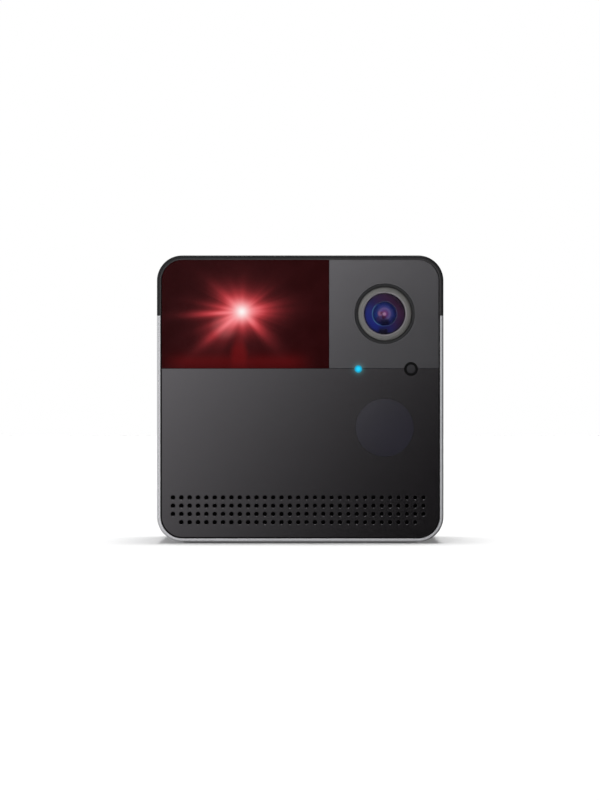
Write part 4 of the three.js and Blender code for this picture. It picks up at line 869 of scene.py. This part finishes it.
section = outerEdge(frontY, 270, 180) + outerEdge(backY, 180, 90) + [
    (sleeve["rim"], backY), (sleeve["rim"], rearLedge), (sleeve["wall"], rearLedge),
    (sleeve["wall"], frontLedge), (sleeve["rim"], frontLedge), (sleeve["rim"], frontY),
]
shell = sweptRound(section)
portStart = frontY + sleeve["portStart"]
ports = turned(
    [
        (sleeve["portBore"], portStart), (sleeve["portRadius"], portStart),
        (sleeve["portRadius"], rearLedge), (sleeve["portBore"], rearLedge),
    ],
    steps=32, closed=True,
)
shell = carved(shell, copies(ports, cornerPlaces(sleeve["portInset"])), "UNION")
notch = roundedBlock(
    (-half - past, frontY - past, archEnd - window["gap"]),
    (half + past, archBack + window["gap"], sleeveHigh.z + past),
)
shell = carved(shell, notch)
footLow, footHigh = corners("rubber_foot")
footRoom = Vector((sleeve["gap"], sleeve["gap"], sleeve["gap"]))
pocketLow, pocketHigh = footLow - footRoom, footHigh + footRoom
pocketLow.z -= past
shell = carved(shell, roundedBlock(pocketLow, pocketHigh, sleeve["footCorner"], 12, along=2))
innerFloor = sleeveLow.z + sleeve["wall"]
shell = carved(shell, drill(innerFloor + past, sleeveLow.z, sleeve["tripodHole"], axis="z", steps=48))
makePiece("sleeveShell", shell, "anodised_aluminium", stands=["body_sleeve"])

under = sleeve["wall"] + window["gap"]
inner = under + window["tongueThickness"]
archSection = outerEdge(frontY, 270, 180) + [
    (0, archBack), (under, archBack), (under, archBack + window["gap"] + window["tongue"]),
    (inner, archBack + window["gap"] + window["tongue"]), (inner, archBack - window["tongue"]),
    (sleeve["wall"], archBack - window["tongue"]), (sleeve["wall"], frontLedge),
    (window["rim"], frontLedge), (window["rim"], frontY),
]


def onFrontRim(vert):
    return vert.co.y < frontLedge + tiny["same"] and abs(insetOf(vert.co) - window["rim"]) < tiny["same"]


arch = sweptRound(archSection)
lowered(arch, where=onFrontRim)
cutOff(arch, (0, 0, archEnd), (0, 0, -1))
makePiece("antennaArch", closeUp(arch), "window_plastic", stands=["antenna_window"])
# A thin lighter strip on the window's front edge: a painted highlight line.
archLip = sweptRound(ringSection(window["rim"] - lip["width"], window["rim"], -lip["proud"], lip["depth"]))
lowered(archLip)
cutOff(archLip, (0, 0, archEnd), (0, 0, -1))
makePiece("archLip", closeUp(archLip), "lip_grey_highlight", stands=["antenna_window"])
print("sleeve and antenna window made")

# Seal between the sleeve's rim and the panels, on the chassis flange
seal = {"outer": 1.22, "inner": 1.66, "front": 0.8, "back": 2.1}
panelSeal = cutOff(sweptRound(ringSection(**seal)), (0, 0, archEnd - window["gap"]), (0, 0, 1))
makePiece("panelSeal", closeUp(panelSeal), "rubber_black")
print("panel seal made")

# Front panels
panel = {
    "corner": 7.4, "edge": 0.07, "gap": 0.3, "topGap": 0.2,
    "lightHole": 1.35, "micHole": 2.45, "lensHole": 10.6, "lensHoleFlare": 0.1, "discHole": 10.3,
    "disc": 10.26, "discEdge": 0.08,
}
speakerHoles = {
    "radius": 0.675, "flare": 0.21, "sides": 14, "rows": 4, "columns": 31,
    "pitchAcross": 2.963, "pitchUp": 2.925, "firstAcross": -45.11, "firstUp": 7.45,
}


# The whole front with its rounded corners, cut down to one panel, and its front edges softened.
def frontPlate(cuts):
    gap = panel["gap"]
    low = (panelLow.x + gap, panelFront, panelLow.z + gap)
    high = (panelHigh.x - gap, panelBack, cameraHigh.z - panel["topGap"])
    plate = roundedBlock(low, high, panel["corner"], 20)
    for point, direction in cuts:
        cutOff(plate, point, direction)
    return softened(plate, panel["edge"], where=lyingAt(1, panelFront))


def panelDrill(radius, centre, flare=0, steps=64):
    return drill(panelBack + past, panelFront, radius, flare, centre=centre, steps=steps)


upper = ((0, 0, windowLow.z), (0, 0, -1))
laserFilter = closeUp(frontPlate([upper, ((windowHigh.x, 0, 0), (1, 0, 0))]))
makePiece("laserFilter", laserFilter, "red_filter", stands=["laser_window"])
cameraPlate = frontPlate([upper, ((cameraLow.x, 0, 0), (-1, 0, 0))])
speakerPlate = frontPlate([((0, 0, panelHigh.z), (0, 0, 1))])
for radius, place in ((panel["lightHole"], light), (panel["micHole"], mic)):
    cameraPlate = carved(cameraPlate, panelDrill(radius, axisAt(place)))
    speakerPlate = carved(speakerPlate, panelDrill(radius, axisAt(place)))
lensHole = panelDrill(panel["lensHole"], axisAt(lensAxis), panel["lensHoleFlare"], 96)
cameraPlate = carved(cameraPlate, lensHole)
makePiece("cameraPlate", cameraPlate, "smoked_panel", stands=["camera_panel"])

speakerPlate = carved(speakerPlate, panelDrill(panel["discHole"], axisAt(disc), steps=96))
holes = speakerHoles
holePlaces = [
    (holes["firstAcross"] + column * holes["pitchAcross"], 0, holes["firstUp"] + row * holes["pitchUp"])
    for row in range(holes["rows"]) for column in range(holes["columns"])
    if row or 0 < column < holes["columns"] - 1
]
hole = panelDrill(holes["radius"], (0, 0, 0), holes["flare"], holes["sides"])
speakerPlate = carved(speakerPlate, copies(hole, holePlaces))
makePiece("speakerPlate", speakerPlate, "speaker_plastic", stands=["speaker_panel"])
discSection = [(0, panelFront), (panel["disc"], panelFront), (panel["disc"], panelBack), (0, panelBack)]
discPlate = softened(turned(discSection, axisAt(disc), steps=96), panel["discEdge"])
makePiece("sensorDisc", discPlate, "sensor_tint", stands=["sensor_cover"])
print("front panels made")

# Lens: points are a radius and how far behind the panels' front
bezel = {
    "lip": [(7.3, 0.5), (7.36, 0.18), (7.42, 0.03), (7.54, -0.06), (7.75, -0.1), (8.15, -0.07)],
    "slope": [(8.6, 0.02), (9, 0.18), (9.3, 0.38), (9.44, 0.56), (9.48, 1)],
    "radius": 10.5,
}
glass = {"front": 7.2, "frontSag": 1.15, "inner": 5.1, "innerSag": 0.6}
floorY = panelFront + bezel["slope"][-1][1]
bezelSection = [(bezel["lip"][0][0], panelBack)] + fromFace(panelFront, bezel["lip"] + bezel["slope"])
bezelSection += [(bezel["radius"], floorY), (bezel["radius"], panelBack)]
lensBezel = turned(bezelSection, axisAt(lensAxis), steps=128, closed=True)
makePiece("lensBezel", lensBezel, "turned_grey", stands=["lens_ring"])


# Half of a lens: its front falls back towards the edge, and its back may be domed too.
def domed(radius, sag, front, back, backSag=0, steps=12):
    shares = [i / steps for i in range(steps + 1)]
    rear = [(radius * s, back - backSag * s ** 2) for s in (reversed(shares) if backSag else (1, 0))]
    return [(radius * s, front + sag * s ** 2) for s in shares] + rear


frontLow, frontHigh = corners("front_lens")
frontDome = domed(glass["front"], glass["frontSag"], frontLow.y, frontHigh.y)
frontGlass = turned(frontDome, axisAt(lensAxis), steps=128)
makePiece("frontGlass", frontGlass, "coated_glass", stands=["front_lens"])
innerLow, innerHigh = corners("inner_lens")
innerDome = domed(glass["inner"], glass["innerSag"], innerLow.y, innerHigh.y, glass["innerSag"])
innerGlass = turned(innerDome, axisAt(lensAxis), steps=96)
makePiece("innerGlass", innerGlass, "inner_coating", stands=["inner_lens"])
print("lens made")

# Status light and microphone, each held by a flange behind the panels
pipe = {
    "dome": [(0, -0.04), (0.6, -0.02), (1.05, 0.05), (1.25, 0.2)],
    "radius": 1.25, "flange": 2.2, "flangeFrom": 1.8, "flangeTo": 2.8,
}
pipeLow, pipeHigh = corners("status_light_pipe")
pipeSection = fromFace(pipeLow.y, pipe["dome"]) + fromFace(panelBack, [
    (pipe["radius"], pipe["flangeFrom"]), (pipe["flange"], pipe["flangeFrom"]),
    (pipe["flange"], pipe["flangeTo"]), (pipe["radius"], pipe["flangeTo"]),
]) + [(pipe["radius"], pipeHigh.y), (0, pipeHigh.y)]
lightPipe = turned(pipeSection, axisAt(light), steps=40)
makePiece("lightPipe", lightPipe, "light_guide", stands=["status_light_pipe"])

boot = {
    "lip": [(1.6, 0.1), (1.72, 0), (2.22, 0), (2.35, 0.13)],
    "flange": 3.2, "flangeFrom": 1.7, "bore": 2.0, "seat": 0.7,
}
bootLow, bootHigh = corners("mic_boot")
flangeY, seatY = panelBack + boot["flangeFrom"], bootLow.y + boot["seat"]
bootSection = fromFace(bootLow.y, boot["lip"]) + [
    (boot["lip"][-1][0], flangeY), (boot["flange"], flangeY), (boot["flange"], bootHigh.y),
    (boot["bore"], bootHigh.y), (boot["bore"], seatY), (boot["lip"][0][0], seatY),
]
micBoot = turned(bootSection, axisAt(mic), steps=48, closed=True)
makePiece("micBoot", micBoot, "boot_rubber", stands=["mic_boot"])

capsule = {"radius": 1.9, "edge": 0.12, "port": 0.3, "portDepth": 0.4}
capsuleLow, capsuleHigh = corners("microphone")
capsuleSection = [
    (0, capsuleLow.y), (capsule["radius"] - capsule["edge"], capsuleLow.y),
    (capsule["radius"], capsuleLow.y + capsule["edge"]), (capsule["radius"], capsuleHigh.y),
    (0, capsuleHigh.y),
]
port = drill(capsuleLow.y + capsule["portDepth"], capsuleLow.y, capsule["port"], centre=axisAt(mic), steps=20)
micCapsule = carved(turned(capsuleSection, axisAt(mic), steps=48), port)
makePiece("micCapsule", micCapsule, "mic_grille", stands=["microphone"])
print("light and microphone made")

# Rear cover, its screws, socket and button
cover = {
    "corner": 7.6, "edge": 0.25, "thickness": 2.4, "join": 0.5, "gap": 0.1,
    "postInset": 16.8, "postRadius": 3,  # the posts that carry the main board
    "pinRadius": 1, "pinReach": 1, "pinEdge": 0.2, "boardThickness": 1.6,
    "screwInset": 6.2, "screwHole": 1.4, "sinkFlare": 1.3, "sinkLip": 0.1,
    "well": 5.5, "wellFlare": 0.6, "buttonHole": 2.6, "buttonFlare": 0.2,
}
vents = {"columns": 9, "pitch": 5, "width": 2, "height": 14, "rows": (53.8, 72.8), "flare": 0.35, "past": 0.2}
coverLow, coverHigh = corners("rear_cover")
coverBack, coverFront = coverHigh.y, coverHigh.y - cover["thickness"]
boardRear = corners("main_board")[1].y
boardFront = boardRear - cover["boardThickness"]
socketAt = middleOf("power_socket")
buttonAt = middleOf("reset_button")
plate = roundedBlock(
    (coverLow.x, coverFront, coverLow.z), (coverHigh.x, coverBack, coverHigh.z), cover["corner"], 20,
)
plate = softened(plate, cover["edge"], where=lyingAt(1, coverBack))
post = turned(
    fromFace(boardFront - cover["pinReach"], [
        (0, 0), (cover["pinRadius"] - cover["pinEdge"], 0), (cover["pinRadius"], cover["pinEdge"]),
    ]) + [
        (cover["pinRadius"], boardRear + cover["gap"]), (cover["postRadius"], boardRear + cover["gap"]),
        (cover["postRadius"], coverFront + cover["join"]), (0, coverFront + cover["join"]),
    ],
    steps=32,
)
plate = carved(plate, copies(post, cornerPlaces(cover["postInset"])), "UNION")
ventHalf, ventReach = vents["width"] / 2, vents["height"] / 2
slot = roundedBlock(
    (-ventHalf, coverFront - past, -ventReach), (ventHalf, coverBack - vents["flare"], ventReach),
    ventHalf - tiny["same"], 6,
)
mouth = max(slot.faces, key=lambda f: f.calc_center_median().y)
flared = bmesh.ops.extrude_face_region(slot, geom=[mouth])["geom"]
bmesh.ops.delete(slot, geom=[mouth], context="FACES_ONLY")
rim = [v for v in flared if isVert(v)]
flareRun = vents["flare"] + vents["past"]
flareGrowth = (1 + flareRun / ventHalf, 1, 1 + flareRun / ventReach)
bmesh.ops.scale(slot, vec=flareGrowth, verts=rim)
bmesh.ops.translate(slot, vec=(0, flareRun, 0), verts=rim)
ventPlaces = [
    ((column - (vents["columns"] - 1) / 2) * vents["pitch"], 0, z)
    for z in vents["rows"] for column in range(vents["columns"])
]
plate = carved(plate, copies(closeUp(slot), ventPlaces))


def coverDrill(radius, flare, lip=0, centre=(0, 0, 0), steps=64):
    return drill(coverFront - past, coverBack, radius, flare, lip, centre, steps=steps)


sink = coverDrill(cover["screwHole"], cover["sinkFlare"], cover["sinkLip"], steps=40)
plate = carved(plate, copies(sink, cornerPlaces(cover["screwInset"])))
plate = carved(plate, coverDrill(cover["well"], cover["wellFlare"], centre=(0, 0, socketAt.z)))
buttonHole = coverDrill(cover["buttonHole"], cover["buttonFlare"], centre=axisAt(buttonAt), steps=48)
plate = carved(plate, buttonHole)
makePiece("rearPlate", plate, "moulded_black", stands=["rear_cover"])

screw = {
    "head": [(0, 0), (2.25, 0), (2.45, -0.08), (2.5, -0.2), (1.2, -1.3)],  # from its face
    "shank": 1.2, "gap": 0.1, "thread": 0.95, "point": [(0.95, 0.6), (0.4, 0), (0, 0)],  # from its tip
    "barReach": 1.5, "barHalf": 0.28, "barDepth": 0.9,  # the two bars of its cross
    "turn": 25, "turnMore": 40,  # of the first one's cross, and of each next one, in degrees
}
for number in range(1, 5):
    low, high = corners(f"rear_screw_{number}")
    at = middleOf(f"rear_screw_{number}")
    shankEnd = coverFront - screw["gap"]
    screwSection = fromFace(high.y, screw["head"]) + [(screw["shank"], shankEnd), (screw["thread"], shankEnd)]
    rearScrew = turned(screwSection + fromFace(low.y, screw["point"]), axisAt(at), steps=48)
    for quarter in (0, 90):
        bar = roundedBlock(
            (-screw["barReach"], -screw["barDepth"], -screw["barHalf"]),
            (screw["barReach"], past, screw["barHalf"]),
        )
        turn = math.radians(screw["turn"] + screw["turnMore"] * number + quarter)
        bmesh.ops.rotate(bar, verts=bar.verts, cent=(0, 0, 0), matrix=Matrix.Rotation(turn, 3, "Y"))
        bmesh.ops.translate(bar, verts=bar.verts, vec=(at.x, high.y, at.z))
        rearScrew = carved(rearScrew, bar)
    makePiece(f"rearScrew{number}", rearScrew, "steel", stands=[f"rear_screw_{number}"])

inlet = {
    "edge": 0.3, "nose": 4.3, "noseLength": 2, "noseJoin": 1, "noseEdge": 0.25,
    "bore": 3.15, "boreFlare": 0.3, "boreDepth": 10,
    "pin": [(0, -3), (0.55, -3.1), (0.9, -3.4), (1, -3.8), (1, -10.6), (0, -10.6)],  # from its face
}
socketLow, socketHigh = corners("power_socket")
nose = socketHigh.y
inletAxis = (0, 0, socketAt.z)
bodyEnd = nose - inlet["noseLength"]
socket = softened(roundedBlock(socketLow, (socketHigh.x, bodyEnd, socketHigh.z)), inlet["edge"])
noseSection = [
    (0, bodyEnd - inlet["noseJoin"]), (inlet["nose"], bodyEnd - inlet["noseJoin"]),
    (inlet["nose"], nose - inlet["noseEdge"]), (inlet["nose"] - inlet["noseEdge"], nose), (0, nose),
]
socket = carved(socket, turned(noseSection, inletAxis, steps=56), "UNION")
bore = drill(nose - inlet["boreDepth"], nose, inlet["bore"], inlet["boreFlare"], centre=inletAxis, steps=56)
makePiece("socketBody", carved(socket, bore), "moulded_black", stands=["power_socket"])
socketPin = turned(fromFace(nose, inlet["pin"]), inletAxis, steps=32)
makePiece("socketPin", socketPin, "brass", stands=["power_socket"])

button = {
    "stem": 1.5, "flange": 3.4, "flangeThickness": 1, "gap": 0.1,
    "cap": [(2.4, -0.25), (2.33, -0.08), (2.15, 0), (1.85, 0), (1.2, -0.14), (0, -0.2)],  # a dished face
}
buttonLow, buttonHigh = corners("reset_button")
flangeBack = coverFront - button["gap"]
flangeFront = flangeBack - button["flangeThickness"]
buttonSection = [
    (0, buttonLow.y), (button["stem"], buttonLow.y), (button["stem"], flangeFront),
    (button["flange"], flangeFront), (button["flange"], flangeBack), (button["cap"][0][0], flangeBack),
] + fromFace(buttonHigh.y, button["cap"])
resetCap = turned(buttonSection, axisAt(buttonAt), steps=48)
makePiece("resetCap", resetCap, "rubber_black", body="reset_button", stands=["reset_button"])
print("rear made")

# Foot and tripod socket
foot = {
    "corner": 6, "edge": 0.25, "hole": 7.2, "ribPitch": 6.4, "ribWidth": 1.4, "ribDepth": 0.3, "ribReach": 36,
    "ribRows": 6, "bareRows": 1,  # to each side of the middle
}
pad = roundedBlock(footLow, footHigh, foot["corner"], 12, along=2)
pad = carved(pad, drill(footHigh.z + past, footLow.z, foot["hole"], axis="z"))
pad = softened(pad, foot["edge"], angle=60, where=lyingAt(2, footLow.z))
ribHalf = foot["ribWidth"] / 2
groove = roundedBlock(
    (-foot["ribReach"], -ribHalf, -past), (foot["ribReach"], ribHalf, foot["ribDepth"]),
    ribHalf - tiny["same"], 4, along=2,
)
rows = range(-foot["ribRows"], foot["ribRows"] + 1)
grooves = [(0, row * foot["ribPitch"], 0) for row in rows if abs(row) > foot["bareRows"]]
pad = carved(pad, copies(groove, grooves))
makePiece("footPad", pad, "rubber_black", stands=["rubber_foot"])

tripod = {
    "bore": 3.175, "mouth": 0.45, "radius": 5, "edge": 0.2, "flange": 7.5, "flangeFrom": 1.7, "flangeTo": 3.2,
    "crownEdge": 0.4, "crown": 1.4,  # the closed end
    "pitch": 1.27, "turns": 5, "core": 2.78, "overlap": 0.03,  # a quarter inch thread, 20 turns to an inch
    "ridge": (0.3, 0.55, 0.65, 0.9),  # where its first turn rises and falls, above the base
}
tripodLow, tripodHigh = corners("tripod_socket")
base, crown = tripodLow.z, tripodHigh.z
radius, flange, edge = tripod["radius"], tripod["flange"], tripod["edge"]
flangeLow, flangeHigh = base + tripod["flangeFrom"], base + tripod["flangeTo"]
boreEnd = crown - tripod["crown"]
insertSection = [
    (tripod["bore"] + tripod["mouth"], base), (radius - edge, base), (radius, base + edge),
    (radius, flangeLow), (flange - edge, flangeLow), (flange, flangeLow + edge),
    (flange, flangeHigh - edge), (flange - edge, flangeHigh), (radius, flangeHigh),
    (radius, crown - tripod["crownEdge"]), (radius - tripod["crownEdge"], crown), (0, crown),
    (0, boreEnd), (tripod["bore"], boreEnd), (tripod["bore"], base + tripod["mouth"]),
]
insert = turned(insertSection, axis="z", steps=64, closed=True)
makePiece("tripodInsert", insert, "brass", stands=["tripod_socket"])
root = tripod["bore"] + tripod["overlap"]
ridge = [(r, base + up) for r, up in zip((root, tripod["core"], tripod["core"], root), tripod["ridge"])]
thread = turned(ridge, axis="z", steps=40, closed=True, rise=tripod["pitch"], turns=tripod["turns"])
bmesh.ops.holes_fill(thread, edges=thread.edges, sides=0)
makePiece("tripodThread", closeUp(thread), "brass", stands=["tripod_socket"])
print("foot made")

# Finishes of the CAD's own pieces
ownFinishes = {
    "moulded_black": [
        "front_chassis", "lens_barrel", "lens_iris", "lens_holder", "speaker_tray", "switch_plunger",
    ],
    "diode_white": ["status_diode"],
    "rubber_black": ["speaker_surround"],
    "steel": [
        "motion_sensor", "speaker_frame", "laser_bracket", "pan_motor", "pan_clip", "tilt_motor",
        "bracket_screw_1", "bracket_screw_2", "radio_shield", "reset_switch",
    ],
    "board_green": ["sensor_board", "camera_board", "main_board", "antenna_board"],
    "clear_glass": ["rear_lens"],
    "chip_black": ["image_sensor", "processor"],
    "mesh_cloth": ["acoustic_mesh"],
    "paper_cone": ["speaker_cone"],
    "copper": ["voice_coil"],
    "ferrite": ["speaker_magnet"],
    "bronze": ["pan_bush"],
    "brass": ["pan_pinion", "tilt_pinion", "laser_module"],
    "gear_white": ["pan_yoke", "laser_cradle"],
    "laser_glow": ["laser_lens"],
    "anodised_aluminium": ["heat_sink"],
    "ribbon": ["camera_ribbon"],
}
for finish, names in ownFinishes.items():
    for name in names:
        for place in nodes[name].material_slots:
            place.material = made[finish]
print("CAD pieces finished")

# Studio: a wide soft box on the left, whose soft edge falls across the front
studio = {
    "fill": 0.3,  # diffuse light from all round
    "boxFill": 1.0,  # and from the box
    "shine": 0.66,  # what gloss mirrors beyond the box
    "shineAcross": -0.56, "below": 0.4,  # its change to the right, and upwards below the middle
    "boxReach": (0.992, 0.999),  # cosines from straight ahead where the box begins, and where it is whole
    "boxRoot": 1.0,  # the square root of the box's brightness in its middle
    "across": -22, "up": 19.5, "upMore": 150,  # its change to the right, upwards, and upwards squared
    "rootRange": (0.12, 1.9),  # its least and most
    "sunStrength": 2.95, "sunSpread": 30, "sunTilt": (-9, 1.2),  # in degrees
    "floorSize": 6, "floorShades": (0.79, 0.8), "floorGrain": 3,
    "floorLift": 0.08,  # seen by the camera alone
}
world = bpy.data.worlds.new("studio")
world.use_nodes = True
bpy.context.scene.world = world
tree = world.node_tree
tree.nodes.clear()
rays = tree.nodes.new("ShaderNodeLightPath")
direction = tree.nodes.new("ShaderNodeSeparateXYZ")
feed(tree, direction.inputs[0], tree.nodes.new("ShaderNodeTexCoord").outputs["Generated"])
east, north, rise = direction.outputs
root = calc(tree, "MULTIPLY_ADD", east, studio["across"], studio["boxRoot"])
root = calc(tree, "MULTIPLY_ADD", rise, studio["up"], root)
root = calc(tree, "MULTIPLY_ADD", times(tree, rise, rise), studio["upMore"], root)
root = calc(tree, "MINIMUM", calc(tree, "MAXIMUM", root, studio["rootRange"][0]), studio["rootRange"][1])
mirrored = calc(tree, "MAXIMUM", rays.outputs["Is Glossy Ray"], rays.outputs["Is Transmission Ray"])
box = calc(tree, "MULTIPLY_ADD", root, root, -studio["boxFill"])
box = calc(tree, "MULTIPLY_ADD", mirrored, box, studio["boxFill"])
shine = calc(tree, "MULTIPLY_ADD", east, studio["shineAcross"], studio["shine"] - studio["fill"])
shine = calc(tree, "MULTIPLY_ADD", calc(tree, "MINIMUM", rise, 0), studio["below"], shine)
beyond = calc(tree, "MULTIPLY_ADD", mirrored, shine, studio["fill"])
inBox = fade(tree, times(tree, north, -1), *studio["boxReach"], 0, 1)
level = calc(tree, "MULTIPLY_ADD", inBox, calc(tree, "SUBTRACT", box, beyond), beyond)
level = calc(tree, "MULTIPLY_ADD", rays.outputs["Is Camera Ray"], calc(tree, "SUBTRACT", 1, level), level)
air = tree.nodes.new("ShaderNodeBackground")
air.inputs["Color"].default_value = (1, 1, 1, 1)
feed(tree, air.inputs["Strength"], level)
feed(tree, tree.nodes.new("ShaderNodeOutputWorld").inputs[0], air.outputs[0])

sunData = bpy.data.lights.new("overhead", "SUN")
sunData.energy = studio["sunStrength"]
sunData.angle = math.radians(studio["sunSpread"])
overhead = bpy.data.objects.new("overhead", sunData)
overhead.rotation_euler = [math.radians(a) for a in studio["sunTilt"]] + [0]
bpy.context.scene.collection.objects.link(overhead)

floorMesh = bmesh.new()
bmesh.ops.create_grid(floorMesh, x_segments=1, y_segments=1, size=studio["floorSize"])
floor = loose(floorMesh, "studioFloor")
material, tree, shader, place = newFinish("floor_white")
tree.nodes.remove(shader)
matt = tree.nodes.new("ShaderNodeBsdfDiffuse")
uneven = speckle(tree, place, studio["floorGrain"])
feed(tree, matt.inputs[0], fade(tree, uneven, *mostNoise, *studio["floorShades"]))
lift = tree.nodes.new("ShaderNodeEmission")
rays = tree.nodes.new("ShaderNodeLightPath")
feed(tree, lift.inputs["Strength"], times(tree, rays.outputs["Is Camera Ray"], studio["floorLift"]))
both = tree.nodes.new("ShaderNodeAddShader")
feed(tree, both.inputs[0], matt.outputs[0])
feed(tree, both.inputs[1], lift.outputs[0])
feed(tree, tree.nodes["Material Output"].inputs[0], both.outputs[0])
floor.data.materials.append(material)
floor.visible_glossy = False
print("studio set")
